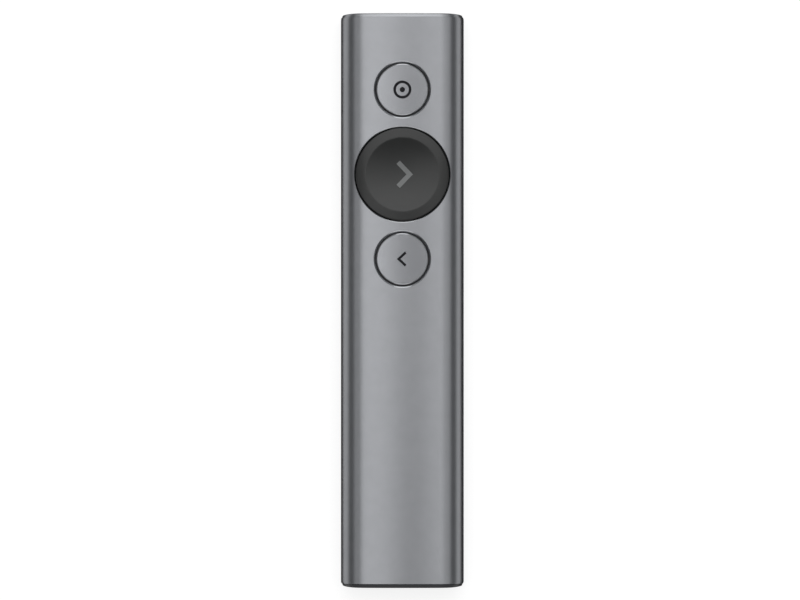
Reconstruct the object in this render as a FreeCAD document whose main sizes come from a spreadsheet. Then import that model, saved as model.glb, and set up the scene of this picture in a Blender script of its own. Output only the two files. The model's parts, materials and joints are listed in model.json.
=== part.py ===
"""A slim wireless presentation clicker, in millimetres.

An extruded aluminium sleeve holds a moulded chassis with the main board, battery and
vibration motor. Three press buttons rise through the sleeve's face, and a USB receiver
slides into a dock in the tail, over the charging port.

+Z leaves the button face and +Y points to the nose. The clicker lies on Z = 0, centred
on X = 0 and Y = 0. Along its length the pieces are stacked from the nose backwards, and
in height from the flat back upwards, so each place follows from the pieces before it.
"""

import FreeCAD, Part
import math
import operator
import os
from types import SimpleNamespace

import Sketcher

# The driving sizes. Each is written once here, and the sheet holds it under its name.
DRIVING = {
    "Sleeve": {
        "sleeve_width": 28.1,
        "sleeve_height": 11.95,
        "sleeve_length": 129.7,
        "sleeve_wall": 1.25,
        "crown_radius": 62.0,
        "upper_side_radius": 5.6,
        "lower_side_radius": 5.0,
        "sleeve_end_chamfer": 0.2,
        "small_hole_chamfer": 0.27,
        "next_hole_chamfer": 0.2,
    },
    "Clearances": {
        "spigot_gap": 0.08,
        "slide_gap": 0.12,
        "seat_gap": 0.1,
        "guide_gap": 0.05,
        "stop_gap": 0.1,
        "part_gap": 0.3,
        "cut_overrun": 1.0,
    },
    "End plates": {
        "end_plate_thickness": 0.8,
        "end_plate_land": 0.05,
        "nose_spigot_length": 0.6,
        "tail_spigot_length": 2.0,
        "nose_frame_thickness": 1.2,
        "hook_side_margin": 5.45,
        "hook_width": 2.4,
        "hook_thickness": 0.7,
        "hook_barb": 0.25,
        "hook_tip": 1.0,
    },
    "Small buttons": {
        "small_cap_radius": 5.88,
        "small_cap_gap": 0.55,
        "small_cap_edge": 0.8,
        "small_cap_chamfer": 0.18,
        "small_cap_proud": 0.05,
        "small_neck_inset": 0.3,
        "flange_reach": 0.5,
        "flange_thickness": 0.8,
        "small_travel": 0.4,
    },
    "Next button": {
        "next_cap_margin": 3.45,
        "next_cap_gap": 0.4,
        "next_cap_proud": 0.15,
        "next_cap_depth": 2.4,
        "next_cap_rounding": 0.3,
        "dish_margin": 2.2,
        "dish_depth": 1.1,
        "next_travel": 0.5,
        "carrier_plate_thickness": 1.0,
        "carrier_plate_inset": 0.3,
        "lug_reach": 0.9,
        "lug_width": 5.0,
        "post_width": 3.0,
        "carrier_gap": 0.52,
    },
    "Chassis": {
        "chassis_wall": 0.75,
        "chassis_rim": 7.6,
        "bulkhead_thickness": 1.0,
        "boss_radius": 1.7,
        "rib_thickness": 1.0,
        "rib_inset": 0.73,
    },
    "Guide frame": {
        "guide_clearance": 0.25,
        "guide_thickness": 0.9,
        "guide_side_inset": 0.43,
        "guide_corner_radius": 2.0,
        "guide_boss_radius": 3.2,
        "guide_leg_radius": 1.9,
        "guide_leg_margin": 0.2,
        "guide_rail_height": 1.1,
        "guide_rail_thickness": 0.8,
    },
    "Board": {
        "board_thickness": 0.8,
        "board_side_gap": 1.1,
        "board_front_gap": 0.25,
        "board_corner": 1.5,
        "board_rear_inset": 0.5,
        "rear_screw_side_inset": 2.23,
        "rear_screw_inset": 4.2,
    },
    "Switches": {
        "switch_width": 4.2,
        "switch_height": 1.2,
        "plunger_radius": 1.0,
        "plunger_rise": 0.65,
        "plunger_depth": 0.35,
        "switch_leg_reach": 0.7,
        "switch_leg_width": 0.6,
        "switch_leg_height": 0.15,
    },
    "Board parts": {
        "controller_width": 6.0,
        "controller_height": 0.9,
        "sensor_width": 3.0,
        "sensor_height": 0.85,
        "charger_gap": 0.8,
        "crystal_length": 2.5,
        "crystal_width": 2.0,
        "crystal_height": 0.6,
        "capacitor_length": 1.0,
        "capacitor_width": 0.5,
        "capacitor_pitch": 1.1,
        "antenna_length": 4.6,
        "antenna_width": 1.6,
        "antenna_height": 1.0,
        "antenna_edge_gap": 1.2,
    },
    "Status light": {
        "led_width": 1.8,
        "led_depth": 0.8,
        "led_height": 1.5,
        "light_pipe_radius": 0.6,
    },
    "Charging port": {
        "usb_c_width": 8.94,
        "usb_c_height": 3.2,
        "usb_c_length": 7.35,
        "usb_c_wall": 0.3,
        "usb_c_back": 1.1,
        "usb_c_tongue_width": 6.7,
        "usb_c_tongue_thickness": 0.7,
        "usb_c_tongue_setback": 1.35,
        "usb_c_foot_length": 1.2,
        "usb_c_foot_inset": 0.9,
    },
    "Battery": {
        "battery_side_margin": 2.83,
        "battery_height": 4.2,
        "battery_corner_radius": 1.2,
        "battery_edge_radius": 0.5,
        "battery_head_length": 1.6,
        "battery_head_height": 1.4,
        "battery_button_gap": 6.0,
        "battery_port_gap": 3.0,
        "battery_pad_thickness": 0.3,
        "battery_pad_margin": 1.5,
        "tab_width": 2.2,
        "tab_thickness": 0.15,
        "tab_pitch": 8.0,
        "tab_run": 1.5,
        "tab_foot": 1.4,
    },
    "Vibration motor": {
        "motor_can_radius": 2.2,
        "motor_can_length": 7.4,
        "motor_can_offset": 2.3,
        "motor_boot_wall": 0.35,
        "motor_boot_length": 5.6,
        "motor_boot_rise": 1.2,
        "motor_guide_gap": 0.37,
        "motor_shaft_radius": 0.4,
        "motor_weight_radius": 2.0,
        "motor_weight_length": 3.2,
        "motor_weight_gap": 0.5,
        "motor_hub_radius": 0.9,
    },
    "Dock": {
        "dock_gap": 0.2,
        "dock_wall": 0.65,
        "dock_end_gap": 0.45,
        "port_window_margin": 0.33,
        "port_gap": 0.15,
        "spring_span": 8.4,
        "spring_width": 3.0,
        "spring_thickness": 0.2,
        "spring_foot_depth": 0.35,
        "spring_end_gap": 1.6,
    },
    "Receiver": {
        "receiver_width": 14.4,
        "receiver_flush": 0.05,
        "receiver_housing_length": 11.6,
        "receiver_corner_radius": 1.1,
        "receiver_end_wall": 1.4,
        "nail_groove_radius": 0.9,
        "nail_groove_length": 8.0,
        "nail_groove_depth": 0.7,
        "plug_width": 12.0,
        "plug_height": 4.5,
        "plug_reach": 11.8,
        "plug_seat": 3.6,
        "plug_wall": 0.3,
        "plug_window": 2.3,
        "plug_window_offset": 2.4,
        "plug_window_inset": 5.2,
        "plug_tongue_height": 1.9,
        "plug_tongue_setback": 0.4,
        "contact_width": 1.2,
        "contact_thickness": 0.12,
        "contact_length": 7.0,
        "contact_setback": 0.7,
        "contact_inner_pitch": 2.0,
        "contact_outer_pitch": 7.0,
        "receiver_board_thickness": 0.8,
        "receiver_board_margin": 0.4,
    },
    "Screws": {
        "screw_radius": 0.7,
        "screw_head_radius": 1.3,
        "screw_head_height": 0.7,
        "screw_socket_radius": 0.55,
        "screw_socket_depth": 0.4,
        "screw_clearance": 0.1,
        "screw_pilot_gap": 0.02,
        "board_screw_grip": 1.2,
    },
}

BUTTONS = ("pointer", "next", "back")
SMALL_BUTTONS = ("pointer", "back")
SIDES = (-1, 1)
SOCKET_SIDES = 6
CAPACITORS = 5
DISH_SWING_DEGREES = 60
# Shares of an edge's run at which its place is tested, and how near counts as on it.
EDGE_SHARES = (0.0, 0.25, 0.5, 0.75, 1.0)
NEAR = 1e-4

WORK = {"+": operator.add, "-": operator.sub, "*": operator.mul, "/": operator.truediv}

doc = FreeCAD.newDocument("PresentationClicker")
sheet = doc.addObject("Spreadsheet::Sheet", "sizes")
nodes = {}


class Size:
    """A size with the sheet's expression for it, so that one formula gives its number and its binding."""

    def __init__(self, number, words):
        self.number = number
        self.words = words

    def __add__(self, other):
        return joined(self, "+", other)

    def __radd__(self, other):
        return joined(other, "+", self)

    def __sub__(self, other):
        return joined(self, "-", other)

    def __rsub__(self, other):
        return joined(other, "-", self)

    def __mul__(self, other):
        return joined(self, "*", other)

    def __rmul__(self, other):
        return joined(other, "*", self)

    def __truediv__(self, other):
        return joined(self, "/", other)

    def __neg__(self):
        return joined(0, "-", self)


def sized(amount):
    """A plain number as a size, and a size as itself."""
    return amount if isinstance(amount, Size) else Size(amount, str(amount))


def joined(left, sign, right):
    left, right = sized(left), sized(right)
    return Size(WORK[sign](left.number, right.number), f"({left.words} {sign} {right.words})")


def root(size):
    return Size(math.sqrt(size.number), f"sqrt({size.words})")


def number(amount):
    return sized(amount).number


def fill_sheet():
    """Writes every driving size into the sheet under its alias, and gives them back as one set of sizes."""
    sizes = SimpleNamespace()
    row = 0
    for heading, group_sizes in DRIVING.items():
        row += 1
        sheet.set(f"A{row}", heading)
        for name, amount in group_sizes.items():
            row += 1
            sheet.set(f"A{row}", name)
            sheet.set(f"B{row}", str(amount))
            sheet.setAlias(f"B{row}", name)
            setattr(sizes, name, Size(amount, "sizes." + name))
    doc.recompute()
    return sizes


s = fill_sheet()


def derive_section():
    """The centres of the section's arcs, and the ends of the sleeve and its plates."""
    s.half_width = s.sleeve_width / 2
    s.crown_centre = s.sleeve_height - s.crown_radius
    arm = s.crown_radius - s.upper_side_radius
    s.upper_centre_x = s.half_width - s.upper_side_radius
    s.upper_centre_z = s.crown_centre + root(arm * arm - s.upper_centre_x * s.upper_centre_x)
    s.lower_centre_x = s.half_width - s.lower_side_radius
    s.sleeve_end = s.sleeve_length / 2
    s.nose_face = s.sleeve_end + s.end_plate_thickness
    s.tail_face = -s.nose_face
    s.end_plate_rounding = s.end_plate_thickness - s.end_plate_land


def section_tilt():
    """How far round from upright the crown arc meets a side arc."""
    return math.asin(number(s.upper_centre_x) / number(s.crown_radius - s.upper_side_radius))


def roof_height(x, inset):
    """The height over x of the section moved inwards by the inset: crown arc, or side arc beyond it."""
    crown, upper = s.crown_radius - inset, s.upper_side_radius - inset
    if number(x) <= number(crown) * math.sin(section_tilt()):
        return s.crown_centre + root(crown * crown - x * x)
    arm = x - s.upper_centre_x
    return s.upper_centre_z + root(upper * upper - arm * arm)


def derive_widths():
    """What follows the sleeve's width: board, guide frame, battery, hooks, screws, large button and dock."""
    s.spigot_inset = s.sleeve_wall + s.spigot_gap
    s.chassis_inset = s.sleeve_wall + s.slide_gap
    s.board_width = s.sleeve_width - 2 * (s.chassis_inset + s.chassis_wall + s.board_side_gap)
    s.rib_offset = s.board_width / 2 - s.rib_inset
    s.rear_screw_offset = s.board_width / 2 - s.rear_screw_side_inset
    s.guide_width = s.board_width - 2 * s.guide_side_inset
    s.battery_width = s.board_width - 2 * s.battery_side_margin
    s.nose_hook_offset = s.half_width - s.hook_side_margin
    s.next_cap_radius = s.half_width - s.next_cap_margin
    s.dish_radius = s.next_cap_radius - s.dish_margin
    s.dock_width = s.receiver_width + 2 * s.dock_gap
    s.dock_half_outer = s.dock_width / 2 + s.dock_wall
    s.tail_hook_offset = s.dock_half_outer + s.hook_barb + s.guide_gap


def derive_heights():
    """The stack from the flat back up: chassis floor, dock, board, switches, guide frame and buttons."""
    s.floor_top = s.chassis_inset + s.chassis_wall
    s.dock_floor = s.floor_top + s.dock_wall
    s.dock_ceiling = roof_height(s.dock_half_outer, s.chassis_inset) - s.dock_wall
    s.dock_height = s.dock_ceiling - s.dock_floor
    s.dock_centre = s.dock_floor + s.dock_height / 2
    s.receiver_height = s.dock_height - 2 * s.dock_gap
    s.board_top = s.dock_centre - s.usb_c_height / 2
    s.board_bottom = s.board_top - s.board_thickness
    s.light_z = s.board_top + s.led_height / 2
    s.motor_z = s.board_top + s.motor_boot_wall + s.motor_can_radius
    s.battery_bottom = s.board_top + s.battery_pad_thickness
    s.switch_top = s.board_top + s.switch_height
    s.plunger_top = s.switch_top + s.plunger_rise
    s.guide_bottom = s.switch_top + s.guide_clearance
    s.guide_top = s.guide_bottom + s.guide_thickness


def derive_buttons():
    """The radii and heights of the caps and their carriers, which stop against the sleeve's roof."""
    s.small_hole_radius = s.small_cap_radius + s.small_cap_gap
    s.flange_radius = s.small_hole_radius + s.flange_reach
    s.flange_top = roof_height(s.flange_radius, s.sleeve_wall) - s.stop_gap
    s.flange_bottom = s.flange_top - s.flange_thickness
    s.small_cap_bottom = roof_height(s.small_cap_radius, -s.small_cap_proud) - s.small_cap_edge
    s.next_hole_radius = s.next_cap_radius + s.next_cap_gap
    s.next_top = s.sleeve_height + s.next_cap_proud
    s.next_cap_bottom = s.next_top - s.next_cap_depth
    s.next_plate_bottom = s.next_cap_bottom - s.carrier_plate_thickness
    s.lug_radius = s.next_hole_radius + s.lug_reach
    s.lug_top = roof_height(s.lug_width / 2, s.sleeve_wall) - s.stop_gap
    s.button_pitch = s.lug_radius + s.flange_radius + s.carrier_gap


def derive_lengths():
    """The stack from the nose backwards: bulkhead, light, motor, buttons, battery, port and dock."""
    s.nose_frame_back = s.sleeve_end - s.nose_spigot_length - s.nose_frame_thickness
    s.chassis_front = s.nose_frame_back - s.seat_gap
    s.bulkhead_back = s.chassis_front - s.bulkhead_thickness
    s.board_front = s.bulkhead_back - s.board_front_gap
    s.motor_y = s.board_front - s.led_depth - s.part_gap - s.motor_boot_wall - s.motor_can_radius
    s.guide_front = s.motor_y - s.motor_can_radius - s.motor_boot_wall - s.motor_guide_gap
    s.pointer_y = s.guide_front - s.flange_radius
    s.next_y = s.pointer_y - s.button_pitch
    s.back_y = s.next_y - s.button_pitch
    s.guide_back = s.back_y - s.flange_radius
    s.guide_screw_inset = s.guide_leg_radius + s.guide_leg_margin
    s.front_screw_y = s.guide_front - s.guide_screw_inset
    s.middle_screw_y = s.guide_back + s.guide_screw_inset
    s.guide_screw_x = s.guide_width / 2 - s.guide_screw_inset
    s.mouth_end = s.tail_spigot_length - s.sleeve_end
    s.chassis_back = s.mouth_end + s.seat_gap
    s.receiver_back = s.tail_face + s.receiver_flush
    s.housing_front = s.receiver_back + s.receiver_housing_length
    s.plug_tip = s.housing_front + s.plug_reach
    s.plug_back = s.housing_front - s.plug_seat
    s.dock_end = s.plug_tip + s.dock_end_gap
    s.port_face = s.dock_end + s.dock_wall + s.port_gap
    s.port_back = s.port_face + s.usb_c_length
    s.board_back = s.port_face + s.board_rear_inset
    s.rear_screw_y = s.board_back + s.rear_screw_inset
    s.battery_front = s.guide_back - s.battery_button_gap
    s.battery_back = s.port_back + s.battery_port_gap
    s.battery_length = s.battery_front - s.battery_back
    s.battery_y = (s.battery_front + s.battery_back) / 2
    s.spring_y = s.dock_end - s.spring_end_gap - s.spring_span / 2


def derive_fits():
    """Sizes of the small fits that several pieces share."""
    s.plug_floor = s.dock_centre - s.plug_height / 2 + s.plug_wall
    s.plug_tongue_top = s.plug_floor + s.plug_tongue_height
    s.plug_tongue_back = s.plug_back - s.plug_tongue_setback
    s.screw_hole_radius = s.screw_radius + s.screw_clearance
    s.pilot_radius = s.screw_radius + s.screw_pilot_gap
    s.light_hole_radius = s.light_pipe_radius + s.guide_gap
    s.motor_weight_start = s.motor_can_length / 2 - s.motor_can_offset + s.motor_weight_gap


derive_section()
derive_widths()
derive_heights()
derive_buttons()
derive_lengths()
derive_fits()

BUTTON_Y = {"pointer": s.pointer_y, "next": s.next_y, "back": s.back_y}
HOLE_RADIUS = {"pointer": s.small_hole_radius, "next": s.next_hole_radius, "back": s.small_hole_radius}
HOLE_CHAMFER = {"pointer": s.small_hole_chamfer, "next": s.next_hole_chamfer, "back": s.small_hole_chamfer}
UNDERSIDE = {"pointer": s.flange_bottom, "next": s.next_plate_bottom, "back": s.flange_bottom}
TRAVEL = {"pointer": s.small_travel, "next": s.next_travel, "back": s.small_travel}
GUIDE_SCREWS = [(side * s.guide_screw_x, y) for y in (s.front_screw_y, s.middle_screw_y) for side in SIDES]
REAR_SCREWS = [(side * s.rear_screw_offset, s.rear_screw_y) for side in SIDES]
BOARD_SCREWS = GUIDE_SCREWS + REAR_SCREWS


def bind(target, path, amount):
    """Ties one property of an object to an expression of the sheet's sizes."""
    target.setExpression(path, sized(amount).words)


def point(x, y, z=0.0):
    return FreeCAD.Vector(number(x), number(y), number(z))


# Bodies and sketches


def new_body(name):
    body = doc.addObject("PartDesign::Body", name)
    body.Label = name
    nodes[name] = body
    return body


def new_sketch(body, name, plane="XY", x=0, y=0, z=0):
    """A sketch parallel to one of the body's origin planes, with its own origin at x, y, z."""
    origin_plane = next(f for f in body.Origin.OriginFeatures if f.Role == plane + "_Plane")
    sketch = body.newObject("Sketcher::SketchObject", body.Name + "_" + name)
    sketch.AttachmentSupport = (origin_plane, [""])
    sketch.MapMode = "FlatFace"
    offsets = {"XY": (x, y, z), "XZ": (x, z, -sized(y)), "YZ": (y, z, x)}[plane]
    for axis, amount in zip("xyz", offsets):
        bind(sketch, "AttachmentOffset.Base." + axis, amount)
    return sketch


def constrain(sketch, *constraints):
    for constraint in constraints:
        sketch.addConstraint(Sketcher.Constraint(*constraint))


def dimension(sketch, kind, *where, size):
    """One driving dimension of the sketch, bound to the sheet."""
    index = sketch.addConstraint(Sketcher.Constraint(kind, *where, number(size)))
    name = f"size_{index}"
    sketch.renameConstraint(index, name)
    bind(sketch, "Constraints." + name, size)


def dimension_point(sketch, curve, end, x, y):
    """Holds an end (1 or 2) or the centre (3) of a curve at x, y from the sketch's origin."""
    dimension(sketch, "DistanceX", -1, 1, curve, end, size=x)
    dimension(sketch, "DistanceY", -1, 1, curve, end, size=y)


def arc(x, y, radius, start, end):
    circle = Part.Circle(point(x, y), FreeCAD.Vector(0, 0, 1), number(radius))
    return Part.ArcOfCircle(circle, start, end)


def line(start, end):
    return Part.LineSegment(point(*start), point(*end))


def draw_circle(sketch, radius, x=0, y=0):
    index = sketch.addGeometry(Part.Circle(point(x, y), FreeCAD.Vector(0, 0, 1), number(radius)), False)
    dimension(sketch, "Radius", index, size=radius)
    dimension_point(sketch, index, 3, x, y)


def draw_polygon(sketch, corners):
    """A closed outline of straight edges through the corners."""
    ends = corners[1:] + corners[:1]
    first = sketch.addGeometry([line(a, b) for a, b in zip(corners, ends)], False)[0]
    count = len(corners)
    for k, (x, y) in enumerate(corners):
        constrain(sketch, ("Coincident", first + k, 2, first + (k + 1) % count, 1))
        dimension_point(sketch, first + k, 1, x, y)


def draw_rectangle(sketch, width, height, x=0, y=0):
    """A rectangle centred on x, y of the sketch."""
    left, right, low, high = x - width / 2, x + width / 2, y - height / 2, y + height / 2
    draw_polygon(sketch, [(left, low), (right, low), (right, high), (left, high)])


def draw_rounded(sketch, width, height, radius):
    """A rectangle centred on the sketch, with all four corners rounded."""
    side, top = width / 2, height / 2
    x, y = side - radius, top - radius
    quarter = math.pi / 2
    sketch.addGeometry([
        line((-x, -top), (x, -top)),
        arc(x, -y, radius, -quarter, 0),
        line((side, -y), (side, y)),
        arc(x, y, radius, 0, quarter),
        line((x, top), (-x, top)),
        arc(-x, y, radius, quarter, 2 * quarter),
        line((-side, y), (-side, -y)),
        arc(-x, -y, radius, 2 * quarter, 3 * quarter),
    ], False)
    for k in range(8):
        constrain(sketch, ("Tangent", k, 2, (k + 1) % 8, 1))
    constrain(sketch, ("Horizontal", 0), ("Vertical", 2), ("Horizontal", 4), ("Vertical", 6),
              ("Equal", 1, 3), ("Equal", 1, 5), ("Equal", 1, 7))
    dimension(sketch, "Radius", 1, size=radius)
    dimension_point(sketch, 3, 3, x, y)
    dimension_point(sketch, 7, 3, -x, -y)


def draw_slot(sketch, width, height):
    """A flat-sided slot with full round ends, centred on the sketch."""
    radius, reach = height / 2, (width - height) / 2
    quarter = math.pi / 2
    sketch.addGeometry([
        line((-reach, -radius), (reach, -radius)),
        arc(reach, 0, radius, -quarter, quarter),
        line((reach, radius), (-reach, radius)),
        arc(-reach, 0, radius, quarter, 3 * quarter),
    ], False)
    for k in range(4):
        constrain(sketch, ("Tangent", k, 2, (k + 1) % 4, 1))
    constrain(sketch, ("PointOnObject", 3, 3, -1), ("Horizontal", 0))
    dimension(sketch, "Radius", 1, size=radius)
    dimension(sketch, "DistanceX", -1, 1, 1, 3, size=reach)
    dimension(sketch, "DistanceX", 3, 3, -1, 1, size=reach)


def draw_section(sketch, inset):
    """The sleeve's cross-section, moved inwards by the inset: flat back, round sides and crowned face."""
    side = s.half_width - inset
    crown, upper, lower = s.crown_radius - inset, s.upper_side_radius - inset, s.lower_side_radius - inset
    tilt, quarter = section_tilt(), math.pi / 2
    sketch.addGeometry([
        line((-s.lower_centre_x, inset), (s.lower_centre_x, inset)),
        arc(s.lower_centre_x, s.lower_side_radius, lower, -quarter, 0),
        line((side, s.lower_side_radius), (side, s.upper_centre_z)),
        arc(s.upper_centre_x, s.upper_centre_z, upper, 0, quarter - tilt),
        arc(0, s.crown_centre, crown, quarter - tilt, quarter + tilt),
        arc(-s.upper_centre_x, s.upper_centre_z, upper, quarter + tilt, 2 * quarter),
        line((-side, s.upper_centre_z), (-side, s.lower_side_radius)),
        arc(-s.lower_centre_x, s.lower_side_radius, lower, 2 * quarter, 3 * quarter),
    ], False)
    for k in range(8):
        constrain(sketch, ("Tangent", k, 2, (k + 1) % 8, 1))
    constrain(sketch, ("Horizontal", 0), ("Vertical", 2), ("Vertical", 6), ("Equal", 1, 7), ("Equal", 3, 5),
              ("PointOnObject", 4, 3, -2))
    dimension(sketch, "DistanceX", -1, 1, 2, 1, size=side)
    dimension(sketch, "DistanceX", 6, 1, -1, 1, size=side)
    dimension(sketch, "Radius", 4, size=crown)
    dimension(sketch, "Radius", 3, size=upper)
    dimension(sketch, "Radius", 1, size=lower)
    dimension(sketch, "DistanceY", -1, 1, 0, 1, size=inset)
    dimension(sketch, "DistanceY", 4, 3, -1, 1, size=-s.crown_centre)


def draw_above_section(sketch, rise):
    """The space above the sleeve's face, raised by rise. Cut off a cap, it leaves the cap's crowned top."""
    side, beyond = s.half_width + rise, s.half_width + rise + s.cut_overrun
    crown, upper = s.crown_radius + rise, s.upper_side_radius + rise
    low, high = s.upper_centre_z, s.sleeve_height + rise + s.cut_overrun
    tilt, quarter = section_tilt(), math.pi / 2
    sketch.addGeometry([
        arc(s.upper_centre_x, low, upper, 0, quarter - tilt),
        arc(0, s.crown_centre, crown, quarter - tilt, quarter + tilt),
        arc(-s.upper_centre_x, low, upper, quarter + tilt, 2 * quarter),
        line((-side, low), (-beyond, low)),
        line((-beyond, low), (-beyond, high)),
        line((-beyond, high), (beyond, high)),
        line((beyond, high), (beyond, low)),
        line((beyond, low), (side, low)),
    ], False)
    constrain(sketch, ("Tangent", 0, 2, 1, 1), ("Tangent", 1, 2, 2, 1))
    for k in range(2, 8):
        constrain(sketch, ("Coincident", k, 2, (k + 1) % 8, 1))
    constrain(sketch, ("Horizontal", 3), ("Vertical", 4), ("Horizontal", 5), ("Vertical", 6),
              ("Horizontal", 7), ("Horizontal", 0, 3, 0, 1), ("Horizontal", 2, 3, 2, 2),
              ("Equal", 0, 2), ("PointOnObject", 1, 3, -2))
    dimension(sketch, "Radius", 0, size=upper)
    dimension(sketch, "Radius", 1, size=crown)
    dimension(sketch, "DistanceX", -1, 1, 0, 3, size=s.upper_centre_x)
    dimension(sketch, "DistanceX", 2, 3, -1, 1, size=s.upper_centre_x)
    dimension(sketch, "DistanceY", 1, 3, -1, 1, size=-s.crown_centre)
    dimension(sketch, "DistanceX", 4, 1, -1, 1, size=beyond)
    dimension_point(sketch, 6, 1, beyond, high)


# Features of a body


def pad(body, sketch, length, backwards=False, both=False):
    """Grows a sketch along its normal: +Z from XY, -Y from XZ, +X from YZ. Backwards turns it round."""
    feature = body.newObject("PartDesign::Pad", sketch.Name + "_pad")
    feature.Profile = sketch
    feature.Reversed = backwards
    if both:
        feature.SideType = "Symmetric"
    bind(feature, "Length", length)
    return feature


def pocket(body, sketch, length, backwards=False, both=False):
    """Cuts what a pad of the sketch would fill, and checks that it cuts something."""
    doc.recompute()
    before = body.Shape.Volume
    feature = body.newObject("PartDesign::Pocket", sketch.Name + "_cut")
    feature.Profile = sketch
    feature.Reversed = not backwards
    if both:
        feature.SideType = "Symmetric"
    bind(feature, "Length", length)
    doc.recompute()
    if not body.Shape.Volume < before:
        raise RuntimeError(f"{feature.Name} cuts nothing")
    return feature


def edges_where(shape, test):
    """The names of the shape's edges that pass the test at every sampled point."""
    names = []
    for index, edge in enumerate(shape.Edges, 1):
        first, last = edge.ParameterRange
        if all(test(edge.valueAt(first + (last - first) * share)) for share in EDGE_SHARES):
            names.append(f"Edge{index}")
    return names


def dress(body, kind, test, size):
    """Rounds (Fillet) or bevels (Chamfer) the edges that pass the test."""
    doc.recompute()
    previous = body.Tip
    names = edges_where(previous.Shape, test)
    if not names:
        raise RuntimeError(f"{body.Label} has no edge for this {kind}")
    feature = body.newObject("PartDesign::" + kind, f"{body.Name}_{kind.lower()}_{len(body.Group)}")
    feature.Base = (previous, names)
    bind(feature, "Size" if kind == "Chamfer" else "Radius", size)
    return feature


def near(a, b):
    return abs(number(a) - number(b)) < NEAR


# Simple solids


def keep(name, feature):
    """Makes a feature one of the clicker's pieces, under its own name."""
    feature.Label = name
    nodes[name] = feature
    return feature


def place(feature, x, y, z):
    for axis, amount in zip("xyz", (x, y, z)):
        bind(feature, "Placement.Base." + axis, amount)


def block(name, x, y, low, width, depth, height):
    """A block centred on x and y that stands on the height low."""
    feature = doc.addObject("Part::Box", name)
    bind(feature, "Length", width)
    bind(feature, "Width", depth)
    bind(feature, "Height", height)
    place(feature, x - width / 2, y - depth / 2, low)
    return feature


TURNS = {
    "Z": FreeCAD.Rotation(),
    "X": FreeCAD.Rotation(FreeCAD.Vector(0, 1, 0), 90),
    "Y": FreeCAD.Rotation(FreeCAD.Vector(1, 0, 0), -90),
}


def cylinder(name, start, radius, height, axis="Z"):
    """A cylinder from the centre of its first face, along an axis."""
    feature = doc.addObject("Part::Cylinder", name)
    feature.Placement = FreeCAD.Placement(FreeCAD.Vector(), TURNS[axis])
    bind(feature, "Radius", radius)
    bind(feature, "Height", height)
    place(feature, *start)
    return feature


def fuse(name, parts):
    feature = doc.addObject("Part::MultiFuse", name)
    feature.Shapes = parts
    return feature


def cut(name, base, tool):
    feature = doc.addObject("Part::Cut", name)
    feature.Base = base
    feature.Tool = tool
    return feature


def join(name, parts):
    """Several separate solids that share one node."""
    feature = doc.addObject("Part::Compound", name)
    feature.Links = parts
    return keep(name, feature)


# The sleeve and its two end plates


def make_sleeve():
    """The extruded tube: crowned face, round sides and flat back, bored for the three buttons."""
    body = new_body("sleeve")
    outline = new_sketch(body, "outline", "XZ")
    draw_section(outline, sized(0))
    pad(body, outline, s.sleeve_length, both=True)
    dress(body, "Chamfer", lambda p: near(abs(p.y), s.sleeve_end), s.sleeve_end_chamfer)
    bore = new_sketch(body, "bore", "XZ")
    draw_section(bore, s.sleeve_wall)
    pocket(body, bore, s.sleeve_length + s.cut_overrun, both=True)
    for button in BUTTONS:
        hole = new_sketch(body, button + "_hole", "XY", y=BUTTON_Y[button], z=s.upper_centre_z)
        draw_circle(hole, HOLE_RADIUS[button])
        pocket(body, hole, s.sleeve_height)
    for button in BUTTONS:

        def on_rim(p, radius=HOLE_RADIUS[button], centre=number(BUTTON_Y[button])):
            return near(math.hypot(p.x, p.y - centre), radius) and near(p.z, roof_height(sized(abs(p.x)), 0))

        dress(body, "Chamfer", on_rim, HOLE_CHAMFER[button])


def make_end_plate(name, face, spigot_length, backwards):
    """A plate over one end of the sleeve, with a rounded outer edge and a spigot in the sleeve's bore."""
    body = new_body(name)
    plate = new_sketch(body, "plate", "XZ", y=face)
    draw_section(plate, sized(0))
    pad(body, plate, s.end_plate_thickness, backwards=backwards)
    dress(body, "Fillet", lambda p: near(p.y, face), s.end_plate_rounding)
    spigot = new_sketch(body, "spigot", "XZ", y=face)
    draw_section(spigot, s.spigot_inset)
    pad(body, spigot, s.end_plate_thickness + spigot_length, backwards=backwards)
    return body


def cut_light_hole(body, start, depth):
    """The bore that the light pipe passes through, from a height of the light."""
    sketch = new_sketch(body, "light_hole", "XZ", y=start, z=s.light_z)
    draw_circle(sketch, s.light_hole_radius)
    pocket(body, sketch, depth)


def add_hooks(body, offset, base, catch):
    """Two snap hooks from y = base, with their inner faces at the offset and their barbs behind y = catch."""
    way = 1 if number(catch) > number(base) else -1
    for side, word in zip(SIDES, ("left", "right")):
        inner, outer = side * offset, side * (offset + s.hook_thickness)
        barb = side * (offset + s.hook_thickness + s.hook_barb)
        tip = catch + way * s.hook_tip
        hook = new_sketch(body, word + "_hook", "XY", z=s.dock_centre - s.hook_width / 2)
        draw_polygon(hook, [(inner, base), (outer, base), (outer, catch), (barb, catch), (outer, tip),
                            (inner, tip)])
        pad(body, hook, s.hook_width)


def cut_hook_windows(body, name, offset, start):
    """Windows in a bulkhead behind y = start, with room for each hook to bend in past its barb."""
    windows = new_sketch(body, name, "XZ", y=start + s.cut_overrun, z=s.dock_centre)
    for side in SIDES:
        x = side * (offset + (s.hook_thickness - s.hook_barb) / 2)
        draw_rectangle(windows, s.hook_thickness + s.hook_barb + 2 * s.seat_gap,
                       s.hook_width + 2 * s.seat_gap, x=x)
    pocket(body, windows, s.bulkhead_thickness + 2 * s.cut_overrun)


def make_nose_cap():
    """The aluminium plate that closes the nose."""
    body = make_end_plate("nose_cap", s.nose_face, s.nose_spigot_length, backwards=False)
    cut_light_hole(body, s.nose_face, s.end_plate_thickness + s.nose_spigot_length + s.cut_overrun)


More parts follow.
